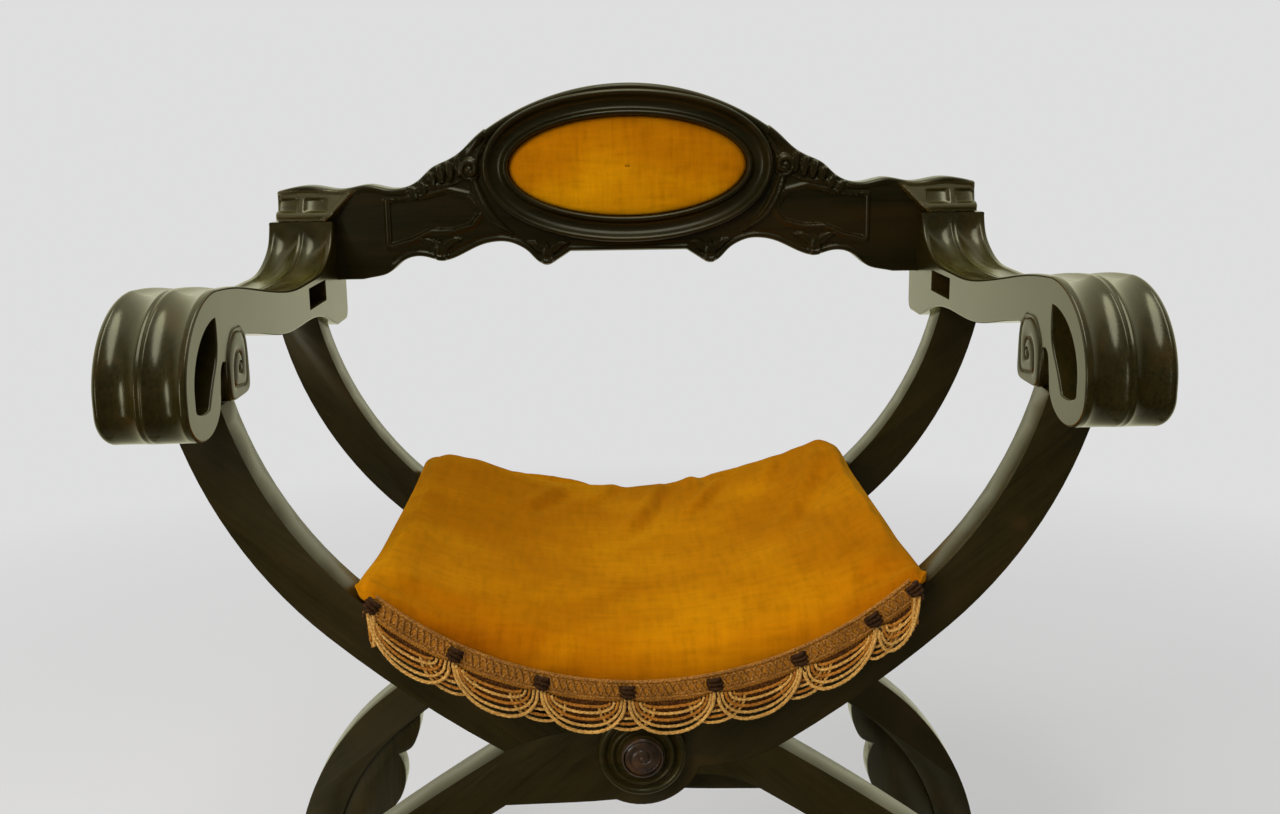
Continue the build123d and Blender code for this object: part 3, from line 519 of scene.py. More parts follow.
def eased(node, material):
    """The CAD node's own shape with its sharp edges eased."""
    mesh = nodes[node].data.copy()
    bm = bmesh.new()
    bm.from_mesh(mesh)
    bmesh.ops.remove_doubles(bm, verts=bm.verts, dist=2e-6)
    bmesh.ops.dissolve_limit(bm, angle_limit=radians(0.4), verts=bm.verts, edges=bm.edges)
    bm.to_mesh(mesh)
    bm.free()
    obj = dress(f"{node}_shown", mesh, material, record_body[node], (node,), sharp=None)
    ease = obj.modifiers.new("ease", "BEVEL")
    ease.width = 1.2 * MM
    ease.segments = 2
    ease.limit_method = "ANGLE"
    ease.angle_limit = radians(38)
    ease.harden_normals = True
    ease.use_clamp_overlap = True


EASED = {
    wood_left_leg: ("front_leg_left", "back_leg_left"),
    wood_right_leg: ("front_leg_right", "back_leg_right"),
    wood_deep: ("runner_left", "runner_right"),
    wood_upright: ("knee_carvings_left", "knee_carvings_right"),
    board_wood: ("oval_board",),
}
for material, names in EASED.items():
    for node in names:
        eased(node, material)

KEPT = {
    wood_deep: ("seat_rail_left", "seat_rail_right", "centre_stretcher"),
    wood_across: ("front_boss", "back_boss"),
    dowel_wood: ("arm_dowels_left", "arm_dowels_right", "foot_dowels_left", "foot_dowels_right"),
    steel: ("pivot_rod", "pivot_nuts", "backrest_pin_left", "backrest_pin_right", "board_screws"),
}
for material, names in KEPT.items():
    for node in names:
        nodes[node].data.materials.clear()
        nodes[node].data.materials.append(material)


# ---------------------------------------------------------------- arms


ROLL = (ARM_FRONT + 80.0, 290.0)  # centre of the roll's upper curve
HOOK = (ARM_FRONT + 37.0, 282.0)  # centre of its lower curve
VOLUTE = (FRONT_FACE + 31.0, 293.0)
VOLUTE_RADIUS = 26.5
LIP = ARM_REAR - 36.0  # where the upper line ends, under the hood
RECESS = np.array([(87.0, 301.0), (155.0, 301.0), (155.0, 319.0), (87.0, 319.0)])  # in an arm's inner face
RECESS_DEPTH = 20.0
FLUTE_RADIUS, FLUTE_RISE = 19.6, 15.6  # a flute's arc and how far its centre stands above the wood
EDGE = 1.8  # rounding of an arm's edges
NEAR_INNER = [0, 0.25, 0.7, 1.3, 2.0]
NEAR_OUTER = [57.5, 58.6, 59.6, 60.4, 61.0, 61.5, 61.85, ARM_WIDTH]
ARM_STATIONS = np.concatenate([NEAR_INNER, np.linspace(3.0, 56.5, 78), NEAR_OUTER])


def arm_outline():
    """Side view of an arm as (depth, rise) points: the upper line, cut in by the flutes, and the rest."""
    board = [(LIP - 14, 371), (LIP - 21, 354), (LIP - 40, 340), (LIP - 72, 329), (LIP - 120, 326)]
    board += [(LIP - 180, 326), (LIP - 240, 332), (LIP - 310, 343), (ROLL[0] + 40, 351), (ROLL[0], 354)]
    roll = oval_arc(ROLL, 80.0, 64.0, 90, 180, 60)[1:]
    drop = np.stack([np.full(3, ARM_FRONT), np.linspace(ROLL[1], HOOK[1], 5)[1:-1]], axis=1)
    top = np.concatenate([natural_spline(board, 150), roll, drop, oval_arc(HOOK, 37.0, 25.5, 180, 270, 28)])
    # on round the hook, over the volute and back along the underside
    hook = oval_arc(HOOK, 37.0, 25.5, 270, 360, 28)[1:]
    tip = [(HOOK[0] + 37.0, HOOK[1]), (HOOK[0] + 39.5, 291), (HOOK[0] + 42, 298), (HOOK[0] + 46, 301)]
    disc = arc(VOLUTE, VOLUTE_RADIUS, 163, 262, 50)
    disc[:, 1] = np.maximum(disc[:, 1], 270.2)
    side = VOLUTE[0] + 25.6
    corner = arc((side - 4, 274.2), 4.0, 270, 360, 7)
    block = np.concatenate([corner, [(side, 290), (side, 303)], arc((side + 6, 306), 6.0, 180, 100, 8)])
    under = [(side + 9, 311.4), (FRONT_FACE + 105, 305), (FRONT_FACE + 187, 292), (BACK_FACE - 73, 290)]
    under += [(BACK_FACE - 43, 286), (BACK_FACE - 15, 279), (BACK_FACE + 9, 272), (BACK_FACE + 22, 269)]
    rear = np.array([(243, 269), (249.5, 271.5), (253, 279), (253, LEDGE), (LIP, LEDGE), (LIP, 371)])
    tip, under = natural_spline(tip, 10)[1:], natural_spline(under, 90)
    return top, np.concatenate([hook, tip, disc, block, under, rear])


def slot_outline():
    """The crescent between the front roll and its hook."""
    outer = oval_arc(ROLL, 62.0, 45.0, 96, 180, 50)
    drop = np.array([(ROLL[0] - 62.0, 286.0)])
    tip = oval_arc(HOOK, 19.0, 6.0, 180, 300, 18)
    back = [tip[-1], (HOOK[0] + 16, 286), (HOOK[0] + 25, 297), (HOOK[0] + 33, 307)]
    back += [(HOOK[0] + 36.5, 318), (HOOK[0] + 37, 331)]
    return np.concatenate([outer, drop, tip, natural_spline(back, 24)[1:]])


def outward(loop):
    """Unit normals that point out of a closed 2D loop."""
    after, before = np.roll(loop, -1, 0), np.roll(loop, 1, 0)
    along = after - before
    normal = np.stack([along[:, 1], -along[:, 0]], axis=1)
    normal /= np.linalg.norm(normal, axis=1)[:, None] + 1e-9
    area = 0.5 * np.sum(loop[:, 0] * after[:, 1] - after[:, 0] * loop[:, 1])
    return normal if area > 0 else -normal


def flute_depth(width):
    """How deep the flutes and the eased ridge between them cut, at a distance from the inner face."""
    arcs = [sqrt(max(0.0, FLUTE_RADIUS**2 - (width - centre) ** 2)) - FLUTE_RISE for centre in FLUTES]
    return max(0.0, *arcs) + 0.6 * (1 - step(0, 2.2, abs(width - ARM_WIDTH / 2)))


def at_x(x, loop):
    """A loop of (depth, rise) points at a place across."""
    return np.column_stack([np.full(len(loop), x), loop])


def make_arm(hand, side):
    """Rings of the outline and of the slot from face to face, the two faces, and the square recess."""
    top, rest = arm_outline()
    outline, slot = np.concatenate([top, rest]), slot_outline()
    out, slot_out = outward(outline), outward(slot)
    run = np.arange(len(top))
    fluted = np.zeros(len(outline))  # the flutes fade at both ends of the upper line
    fluted[: len(top)] = step(0, 10, run) * (1 - step(len(top) - 22, len(top) - 3, run))
    outer_round = EDGE + 3.6 * step(-120, -200, outline[:, 0])  # the roll's outer corner is rounder
    rings, slots = [], []
    for width in ARM_STATIONS:
        cut = rounding(width, EDGE) + rounding(ARM_WIDTH - width, outer_round) + fluted * flute_depth(width)
        rings.append(outline - out * cut[:, None])
        slots.append(slot + slot_out * rounding(min(width, ARM_WIDTH - width), 1.2))
    across = side * (ARM_INNER + ARM_STATIONS)
    mouth = RECESS + 0.9 * np.sign(RECESS - RECESS.mean(axis=0))
    levels = ((0.0, mouth), (0.9, RECESS), (RECESS_DEPTH, RECESS))
    loops = [at_x(x, loop) for x, loop in zip(across, rings)]
    loops += [at_x(x, loop) for x, loop in zip(across, slots)]
    loops += [at_x(across[0] + side * depth, loop) for depth, loop in levels]
    last = len(across) - 1
    first_slot = len(across) * len(outline)
    first_recess = first_slot + len(across) * len(slot)
    faces = grid_faces(len(across), len(outline), wrap=True, flip=side > 0)
    for ring, flip in ((0, side > 0), (last, side < 0)):
        rims = [rings[ring], slots[ring]]
        index = [ring * len(outline) + i for i in range(len(outline))]
        index += [first_slot + ring * len(slot) + i for i in range(len(slot))]
        if ring == 0:
            rims.append(mouth)
            index += [first_recess + i for i in range(4)]
        for triangle in tessellate_polygon([[Vector((*point, 0)) for point in rim] for rim in rims]):
            corners = [index[i] for i in triangle]
            faces.append(corners[::-1] if flip else corners)
    faces += grid_faces(len(across), len(slot), first=first_slot, wrap=True, flip=side < 0)
    faces += grid_faces(len(levels), 4, first=first_recess, wrap=True, flip=side < 0)
    bottom = [first_recess + 8 + i for i in range(4)]
    faces.append(bottom[::-1] if side > 0 else bottom)
    node = f"arm_{hand}"
    body = record_body[node]
    piece(f"{node}_shown", np.concatenate(loops), faces, wood_arm, body, "stained_wood", (node,), sharp=42)
    for where, x, way in (("inner", across[0], -side), ("outer", across[last], side)):
        points, faces = volute_disc(x, way)
        piece(f"volute_{hand}_{where}", points, faces, wood_deep, body, "stained_wood", sharp=60)


def volute_disc(face_x, way):
    """A carved scroll on a side face of an arm: round above, square behind, and cut flat over the leg."""
    rings, spokes, radius, turns, eye = 48, 132, 25.6, 2.1, 0.15
    share = np.linspace(0.02, 1, rings)[:, None]
    t = around(spokes)
    c, v = np.cos(t), np.sin(t)
    rise = np.where(v > 0, radius + 4.0, radius - 3.0)
    power = np.where((c > 0) & (v > 0), 3.2, np.where(v < 0, 6.0, 2.0))
    reach = 1 / ((np.abs(c) / (radius - 0.8)) ** power + (np.abs(v) / rise) ** power) ** (1 / power)
    r = share * reach
    phase = (turns * share**0.9 - t / (2 * pi) + 0.35) % 1.0
    height = 0.3 + 2.7 * bow(2 * phase - 1) * (0.7 + 0.3 * (1 - share))
    height = np.where(share < eye, 0.5 + 3.2 * bow(share / eye), height)
    height = height * np.sqrt(np.clip(1 - step(0.93, 1.0, share), 0, 1)) - 0.05
    points = listed(grid_points(face_x + way * height, VOLUTE[0] + r * c, VOLUTE[1] + r * v))
    faces = grid_faces(rings, spokes, wrap=True, flip=way < 0)
    tip = len(points)
    points = np.concatenate([points, [[face_x + way * height[0, 0], *VOLUTE]]])
    for k in range(spokes):
        after = (k + 1) % spokes
        faces.append([tip, k, after] if way > 0 else [tip, after, k])
    return points, faces


for hand, side in (("left", -1), ("right", 1)):
    make_arm(hand, side)


# ---------------------------------------------------------------- carved backrest


def curve_distance(path, x, z):
    """Signed distance to a path and the share along it, for arrays of points."""
    p = np.array(path, float)
    best = np.full(x.shape, 1e9)
    signed = np.zeros(x.shape)
    along = np.zeros(x.shape)
    run = length_along(p)
    for i in range(len(p) - 1):
        d = p[i + 1] - p[i]
        length = np.hypot(*d)
        t = np.clip(((x - p[i, 0]) * d[0] + (z - p[i, 1]) * d[1]) / length**2, 0, 1)
        dx, dz = x - p[i, 0] - t * d[0], z - p[i, 1] - t * d[1]
        distance = np.hypot(dx, dz)
        nearer = distance < best
        best = np.where(nearer, distance, best)
        signed = np.where(nearer, np.where(d[0] * dz - d[1] * dx > 0, distance, -distance), signed)
        along = np.where(nearer, (run[i] + t * length) / run[-1], along)
    return signed, along


def inside_distance(polygon, x, z):
    """Distance inside a closed polygon, negative outside."""
    p = np.array(polygon, float)
    best = np.full(x.shape, 1e9)
    inside = np.zeros(x.shape, bool)
    for a, b in zip(p, np.roll(p, -1, 0)):
        d = b - a
        t = np.clip(((x - a[0]) * d[0] + (z - a[1]) * d[1]) / (d @ d), 0, 1)
        best = np.minimum(best, np.hypot(x - a[0] - t * d[0], z - a[1] - t * d[1]))
        crosses = (a[1] > z) != (b[1] > z)
        at = d[0] * (z - a[1]) / (d[1] + 1e-12) + a[0]
        inside ^= crosses & (x < at)
    return np.where(inside, best, -best)


def leaf(path, half_width, height, veins, taper, x, z):
    """A raised leaf along a path, its width tapered to both ends, with grooves along it."""
    s, t = curve_distance(natural_spline(path, 40), x, z)
    width = half_width * np.clip(np.sin(pi * np.clip(taper[0] + (taper[1] - taper[0]) * t, 0, 1)), 0.02, 1)
    groove = 0.5 + 0.5 * np.cos(2 * pi * veins * s / (2 * width + 1e-6))
    return height * mound(s, width) * (1 - 0.35 * groove * (np.abs(s) < width))


def highest_leaf(leaves, x, z):
    return np.maximum.reduce([leaf(*values, x, z) for values in leaves])


def scroll(cx, cz, radius, turns, hand, start, height, x, z):
    """A raised rolled spiral."""
    dx, dz = x - cx, z - cz
    r = np.hypot(dx, dz)
    phase = (turns * r / radius - hand * (np.arctan2(dz, dx) / (2 * pi)) + start) % 1.0
    edge = bow((r / radius) ** 2)
    return height * np.maximum((0.25 + 0.75 * bow(2 * phase - 1)) * edge, mound(r, radius * 0.2) * 1.15)


CREST_RADIUS = 246.0
CREST_RISE = 500.0
SHOULDER = natural_spline(
    [
        (120, 471), (136, 460.5), (150, 449.8), (164, 436.5), (178, 428), (193, 421), (206, 409.5),
        (220, 402.5), (236, 401.5), (256, 405.3), (284, 401.3), (312, 405), (348, 399.5),
    ],
    400,
)
SCALLOPS = natural_spline(
    [
        (58, 337), (72, 328), (81, 324), (90, 327), (100, 337), (110, 343.5), (120, 347), (132, 347.5),
        (145, 345), (160, 338.5), (174, 332), (187, 329.5), (197, 332), (207, 334.1), (217.5, 333),
        (228, 327.5), (240, 318), (255, 314), (266, 312),
    ],
    400,
)
WING_FIELD = [
    (236, 347), (216, 352), (197, 361), (174, 361), (156, 366), (148, 377), (158, 392), (178, 397),
    (201, 391), (236, 388),
]
# A leaf is its path, half width, height, number of veins and taper.
SHOULDER_LEAVES = [
    ([(152, 407), (147, 392), (135, 372), (112, 354)], 6.0, 4.4, 2, (0.3, 0.99)),
    ([(147, 428), (140, 441), (130, 452)], 4.6, 3.6, 1, (0.25, 0.97)),
    ([(216, 396), (196, 402), (176, 404), (162, 409)], 3.8, 3.0, 1, (0.5, 0.98)),
]
WING_LEAF = ([(234, 352), (214, 360), (192, 370), (174, 378)], 5.6, 4.6, 2, (0.45, 0.97))
DROPS = ((81, 335), (187, 340))  # places of the carved drops along the lower edge
EAR_FOOT = 371.3  # where an ear begins to lean forward


def panel_top(x):
    ax = np.abs(x)
    crest = CREST_RISE - CREST_RADIUS + np.sqrt(np.clip(CREST_RADIUS**2 - ax**2, 0, None))
    return np.where(ax <= 140, crest, np.interp(ax, SHOULDER[:, 0], SHOULDER[:, 1]))


def panel_bottom(x):
    ax = np.abs(x)
    curve = np.interp(ax, SCALLOPS[:, 0], SCALLOPS[:, 1])
    return np.where(ax <= 58, 337.0, np.where(ax >= 266, LEDGE, np.maximum(curve, LEDGE)))


def oval_share(x, z, margin=0.0):
    """Share of the way from the oval's middle to its edge, for an oval larger by the margin."""
    return np.hypot(x / (OVAL_A + margin), (z - OVAL_RISE) / (OVAL_B + margin))


def mitre_line(ax, z):
    """The slanting line where an ear's hood begins."""
    return ax + 0.92 * (z - 378)


def shoulder_relief(ax, z):
    """A scroll with upright lobes leaning outwards beside it, and leaves round the oval's frame."""
    lobes = []
    for k in range(6):
        root_x, tip_x = 166 + 8.6 * k, 167.5 + 9.4 * k
        top_z = np.interp(tip_x, SHOULDER[:, 0], SHOULDER[:, 1]) - 3.0
        low_z = top_z - 17 + 1.6 * k
        path = [(root_x, low_z), ((root_x + tip_x) / 2 - 0.8, (low_z + top_z) / 2), (tip_x, top_z)]
        lobes.append((path, 4.3, 5.2, 1, (0.18, 0.86)))
    rolled = scroll(155, 419, 11.5, 1.6, -1, 0.2, 5.6, ax, z)
    return np.maximum(rolled, highest_leaf(lobes + SHOULDER_LEAVES, ax, z))


def hood_relief(ax, z):
    """The ears lean forward over the lips of the arms, and are fluted like them."""
    lean = np.clip((400.0 - z) / 25.0, 0, 1) * (z > EAR_FOOT)
    mitre = mitre_line(ax, z)
    hood = 13.4 * lean * step(287.5, 289.5, mitre)
    bead = mound(mitre - 292.5, 2.6) + mound(z - 377.2, 2.4) * (mitre > 289)
    hood = hood + 1.5 * np.clip(bead, 0, 1) * (hood > 0.5)
    for centre in FLUTES:
        hollow = bow(np.clip(np.abs(ax - ARM_INNER - centre) / 11.4, 0, 1))
        hollow = hollow * step(379.5, 381.5, z) * (1 - step(391, 394, z)) * step(294.5, 296.5, mitre)
        hood = hood - 3.6 * hollow * (hood > 2.0)
    return hood * (1 - 0.55 * step(341.5, 343.0, ax) * (z > 381))


def drop_leaves():
    """One upright leaf and two that spread from its foot, at each drop."""
    leaves = []
    for x, z in DROPS:
        leaves.append(([(x, z - 9), (x, z + 1), (x + 1, z + 11)], 6.2, 5.0, 1, (0.35, 0.98)))
        leaves.append(([(x - 3, z + 2), (x - 12, z + 9), (x - 22, z + 11)], 4.0, 3.6, 1, (0.3, 0.98)))
        leaves.append(([(x + 3, z + 2), (x + 12, z + 9), (x + 21, z + 12)], 4.0, 3.6, 1, (0.3, 0.98)))
    return leaves


def panel_relief(x, z):
    """Height of the carving above the panel's front plane."""
    ax = np.abs(x)
    up, low = panel_top(x), panel_bottom(x)
    slope_up = np.gradient(up, axis=1) / np.gradient(x, axis=1)
    slope_low = np.gradient(low, axis=1) / np.gradient(x, axis=1)
    from_top = (up - z) / np.sqrt(1 + np.clip(slope_up, -3, 3) ** 2)
    from_low = (z - low) / np.sqrt(1 + np.clip(slope_low, -3, 3) ** 2)
    ring = oval_share(x, z, FRAME_WIDTH)
    # moulding that follows the crest down to the shoulders
    crest = 1 - step(146, 160, ax)
    beads = 3.0 * mound(from_top - 4.2, 4.2) + 2.0 * mound(from_top - 15.6, 3.0)
    h = crest * (beads - 2.4 * mound(from_top - 10.5, 2.4))
    h -= 1.8 * crest * step(18.5, 22, from_top) * step(1.0, 1.06, ring)
    h = np.maximum(h, shoulder_relief(ax, z) * step(1.01, 1.035, ring) * step(0.4, 1.8, from_top))
    # wings: a sunk field with steep ends and a long leaf that ends in a curl
    depth = inside_distance(WING_FIELD, ax, z)
    sunk = step(0, 5.4, depth)
    rim = np.exp(-(((depth + 2.6) / 2.6) ** 2)) * (depth < 1.0) * (ax < 241)
    h = np.maximum(h, 2.3 * rim * step(1.02, 1.05, ring))
    curl = scroll(163.5, 379.5, 8.8, 1.4, 1, 0.1, 5.0, ax, z) * (np.hypot(ax - 163.5, z - 379.5) < 8.8)
    field = 2.3 * (1 - sunk) * (1 - step(0, 2.0, depth)) - 7.0 * sunk
    h = np.where(depth > 0, field + np.maximum(leaf(*WING_LEAF, ax, z), curl) * sunk, h)
    # upright cove at each end of the wing, between two fillets
    cove = bow((ax - 264) / 20.0) * step(7, 12, from_top) * step(1.5, 6, from_low)
    h = np.where((ax > 244) & (ax < 284), h - 3.8 * cove, h)
    # moulding along the top of the wings and the ears
    h += step(214, 224, ax) * (2.0 * mound(from_top - 3.4, 3.4) - 1.6 * mound(from_top - 8.2, 1.6))
    h = np.where(ax > 264, np.maximum(h, hood_relief(ax, z)), h)
    h = np.maximum(h, highest_leaf(drop_leaves(), ax, z))
    low_line = step(1.01, 1.04, ring) * (1 - step(228, 238, ax)) * (1 - sunk)
    h += low_line * (1.1 * mound(from_low - 2.8, 2.6) - 0.8 * mound(from_low - 6.6, 1.4))
    # the oval's opening, and flat wood under its frame
    h = np.where(oval_share(x, z, FRAME_WIDTH - 1.5) < 1, np.minimum(h, 0), h)
    h = np.where(oval_share(x, z) < 1, -20.0, h)
    # hand-eased outer edges
    return h - rounding(from_top, 2.6) - rounding(from_low, 2.2) - rounding(PANEL_HALF - ax, 2.0)


def make_panel():
    """A carved front and a plain back between the same outlines, open at the oval."""
    columns, rows, back_rows = 581, 112, 60
    grids = []
    for count in (rows, back_rows):
        x = np.repeat(np.linspace(-PANEL_HALF, PANEL_HALF, columns)[None, :], count, axis=0)
        z = panel_bottom(x) + np.linspace(0, 1, count)[:, None] * (panel_top(x) - panel_bottom(x))
        grids.append((x, z))
    (x, z), (back_x, back_z) = grids
    edge = np.minimum(back_z - panel_bottom(back_x), panel_top(back_x) - back_z)
    edge = np.minimum(edge, PANEL_HALF - np.abs(back_x))
    depth = PANEL_BACK - np.where(oval_share(back_x, back_z, 12) < 1, 8.0, rounding(edge, 1.5))
    front = grid_points(x, PANEL_FRONT - panel_relief(x, z), z)
    points = listed(front, grid_points(back_x, depth, back_z))
    first = rows * columns
    open_front = (oval_share(x, z, -6) < 1).ravel().tolist()
    open_back = (oval_share(back_x, back_z, -6) < 1).ravel().tolist()
    faces = [face for face in grid_faces(rows, columns) if not all(open_front[i] for i in face)]
    for face in grid_faces(back_rows, columns, flip=True):
        if not all(open_back[i] for i in face):
            faces.append([i + first for i in face])
    # the walls round the outline
    top_front, top_back = (rows - 1) * columns, first + (back_rows - 1) * columns
    for c in range(columns - 1):
        faces.append([c + 1, c, first + c, first + c + 1])
        faces.append([top_front + c, top_front + c + 1, top_back + c + 1, top_back + c])
    for column, flip in ((0, False), (columns - 1, True)):
        loop = [r * columns + column for r in range(rows)]
        loop += [first + r * columns + column for r in range(back_rows - 1, -1, -1)]
        faces.append(loop if flip else loop[::-1])
    name, replaced = "back_panel_shown", ("back_panel",)
    panel = piece(name, points, faces, wood_backrest, "backrest", "stained_wood", replaced, sharp=45)
    # The hoods' upturned front faces take the lightened copy: a painted highlight.
    panel.data.materials.append(wood_hood_painted_highlight)
    for polygon in panel.data.polygons:
        ax, y, z = abs(polygon.center.x) / MM, polygon.center.y / MM, polygon.center.z / MM - PIVOT
        if mitre_line(ax, z) > 287.5 and 371 < z < 401 and y < PANEL_FRONT - 0.6:
            polygon.material_index = 1


make_panel()


def make_oval_frame():
    """A moulded ring: bead at the velvet, cove and outer roll."""
    moulding = [
        (0.0, 4.8), (0.4, 6.2), (1.5, 7.3), (3.0, 7.6), (4.6, 6.8), (5.6, 5.2), (6.6, 3.6), (9.0, 2.4),
        (12.5, 2.2), (16.0, 3.4), (18.4, 5.6), (20.0, 7.6), (21.4, 8.8), (22.9, 8.9), (24.2, 7.9),
        (25.1, 5.8), (FRAME_WIDTH, 3.0),
    ]
    profile = np.concatenate([[(0.0, -6.0)], natural_spline(moulding, 44), [(FRAME_WIDTH, -1.0)]])
    t = around(300).T
    out_x, out_z = OVAL_B * np.cos(t), OVAL_A * np.sin(t)
    length = np.hypot(out_x, out_z)
    out, height = profile[:, 0][None, :], profile[:, 1][None, :]
    x = OVAL_A * np.cos(t) + out_x / length * out
    z = OVAL_RISE + OVAL_B * np.sin(t) + out_z / length * out
    points = listed(grid_points(x, PANEL_FRONT - height, z))
    faces = ring_faces(len(t), len(profile))
    name, replaced = "oval_frame_shown", ("oval_frame",)
    piece(name, points, faces, wood_backrest, "backrest", "stained_wood", replaced, sharp=60)


make_oval_frame()


def make_boss_caps():
    """A carved spiral on the cap at the middle of each boss."""
    low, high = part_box("boss_caps")
    radius = (high[0] - low[0]) / 2 / MM
    rings, spokes = 46, 120
    r = np.linspace(0.0, 1.0, rings)[:, None] * radius
    t = around(spokes)
    x, z = r * np.cos(t), r * np.sin(t)
    carved = 2.6 - scroll(0, 0, radius * 0.86, 1.9, 1, 0.3, 2.6, x, z)
    depth = np.minimum(carved * (r < radius * 0.88) + 0.2, 2.8) + rounding(radius - r, 3.0)
    parts = []
    for outer, way in ((low[1] / MM, 1), (high[1] / MM, -1)):
        face = grid_points(x, outer + way * depth, z)
        wall = grid_points(x[-1:], outer + way * 4.0, z[-1:])
        parts.append((listed(face, wall), grid_faces(rings + 1, spokes, wrap=True, flip=way < 0)))
    body, slot = record_body["boss_caps"], record_slot["boss_caps"]
    piece("boss_caps_shown", *merged(parts), wood_rubbed, body, slot, ("boss_caps",), sharp=50)


make_boss_caps()


# ---------------------------------------------------------------- soft pieces


def coordinates(mesh):
    return np.array([vertex.co for vertex in mesh.vertices], float)


def swelled(obj, pressure, cap, shrink, frames=20):
    """Points of the mesh blown up by the cloth solver, none of them moved by more than the cap."""
    start = coordinates(obj.data)
    cloth = obj.modifiers.new("cloth", "CLOTH")
    settings = cloth.settings
    settings.quality = 6
    settings.mass = 0.3
    settings.use_pressure = True
    settings.uniform_pressure_force = pressure
    settings.shrink_min = shrink
    settings.tension_stiffness = settings.compression_stiffness = 20
    settings.shear_stiffness = 8
    settings.bending_stiffness = 0.6
    settings.effector_weights.gravity = 0
    cloth.collision_settings.use_collision = False
    scene = bpy.context.scene
    cloth.point_cache.frame_start = 1
    cloth.point_cache.frame_end = frames
    for number in range(1, frames + 1):
        scene.frame_set(number)
    mesh = baked(obj)
    obj.modifiers.remove(cloth)
    scene.frame_set(1)
    end = coordinates(mesh)
    bpy.data.meshes.remove(mesh)
    if len(end) != len(start) or not np.isfinite(end).all():
        return start
    move = end - start
    size = np.linalg.norm(move, axis=1)
    return start + move * (np.minimum(size, cap * MM) / (size + 1e-12))[:, None]


def hanging_arc(centre, radius, x, reach):
    """Rise of an arc that hangs below its centre; past its reach it runs on level."""
    return centre - np.sqrt(radius**2 - np.minimum(np.abs(x), reach) ** 2)


def seat_under(x):
    return hanging_arc(SEAT_CENTRE, UNDER_RADIUS, x, 300.0)


TOP_LOW, TOP_SAG, TOP_HALF = 97.0, 45.0, 202.0  # the pad's upper side, between its ends
TOP_RADIUS = (TOP_HALF**2 + TOP_SAG**2) / (2 * TOP_SAG)


def seat_top(x):
    return hanging_arc(TOP_LOW + TOP_RADIUS, TOP_RADIUS, x, 300.0)


def pad_block():
    """The pad before it is filled: sections with round ends along its width."""
    sides = 72
    across = [np.linspace(-207.5, -188, 12), np.linspace(-184, 186, 68), np.linspace(190, 210.5, 12)]
    across = np.concatenate(across)
    t = np.linspace(0, 2 * pi, sides, endpoint=False)
    cy = np.sign(np.cos(t)) * np.abs(np.cos(t)) ** 0.16
    cz = np.sign(np.sin(t)) * np.abs(np.sin(t)) ** 0.62
    sections = []
    for x in across:
        inner = min(abs(x), 203.0)
        under, top = seat_under(inner) + 1.2, seat_top(inner) - 1.5
        past = max(0.0, abs(x) - (190.0 if x < 0 else 193.0)) / 18.0
        end = sqrt(max(0.02, 1 - past**2))
        half, reach = (top - under) / 2 * end, PAD_REACH - 2.0 - 6 * (1 - end)
        sections.append(np.stack([np.full(sides, x), reach * cy, (under + top) / 2 + half * cz], axis=1))
    faces = grid_faces(len(across), sides, wrap=True, flip=True)
    faces.append(list(range(sides)))
    faces.append([(len(across) - 1) * sides + k for k in range(sides - 1, -1, -1)])
    return np.concatenate(sections), faces


def make_seat():
    seat = piece("seat_velvet", *pad_block(), seat_velvet, None, "velvet", ("seat_pad",), sharp=None)
    voxel = 5
    apply_modifier(seat, "REMESH", mode="VOXEL", voxel_size=voxel * MM, use_smooth_shade=True)
    filled = swelled(seat, pressure=4.0, cap=4.0, shrink=-0.03)
    seat.data.vertices.foreach_set("co", filled.astype(np.float32).ravel())
    apply_modifier(seat, "SUBSURF", levels=1, render_levels=1)
    shape_seat(seat.data)
    apply_modifier(seat, "SMOOTH", factor=0.5, iterations=7)
    return seat


# How far the stuffing stands up, as places across and heights: at the back, and over the middle.
REAR_RISE = (
    (-207, -181, -156, -114, -72, -13, 54, 97, 139, 164, 181, 205),
    (9, 13, 16, 11, 8, 8, 9, 12, 17, 19, 20, 21),
)
MIDDLE_RISE = ((-207, -150, 0, 150, 210), (5.0, 1.5, 0.0, 6.0, 18.0))
FOLDS = (
    # start (x, y), end (x, y), half width and height; velvet pulled from the back edge
    ((26, 158), (-14, 8), 11, 6.6),
    ((81, 146), (44, 60), 10, 5.4),
    ((56, 182), (60, 118), 11, 4.6),
    ((-73, 146), (-106, 60), 12, 4.6),
    ((-20, 168), (-50, 92), 11, 3.8),
    ((174, 122), (116, -44), 14, 5.2),
    ((138, 156), (112, 82), 12, 3.4),
    ((-40, 190), (-118, 172), 9, 3.0),
)
VALLEY = ((176, 178), (166, 40), (162, -60), (168, -150))  # inside each rolled end
FRONT_WALL = -184.5


def fold_lift(x, y):
    """Pull folds, a soft valley inside each rolled end, and a slight unevenness."""
    lift = np.zeros(len(x))
    for start, end, half, height in FOLDS:
        middle = ((start[0] + end[0]) / 2 + 3, (start[1] + end[1]) / 2)
        s, t = curve_distance([start, middle, end], x, y)
        fade = np.sin(pi * np.clip(0.12 + 0.88 * t, 0, 1)) ** 0.8
        wave = np.exp(-((s / half) ** 2) * 2.2) - 0.75 * np.exp(-(((s - half * 1.15) / half) ** 2) * 2.2)
        lift += height * fade * wave
    for side, depth in ((-1, 2.2), (1, 1.5)):
        path = [(side * across, along) for across, along in VALLEY]
        s, t = curve_distance(path, x, y)
        lift -= depth * np.exp(-((s / 13.0) ** 2)) * np.sin(pi * np.clip(t, 0, 1)) ** 0.5
    fade = np.cos(0.5 * pi * np.clip(np.abs(y) / PAD_REACH, 0, 1))
    return lift + 1.2 * np.sin(x * 0.021 + 1.3) * np.sin(y * 0.017 + 0.4) * fade


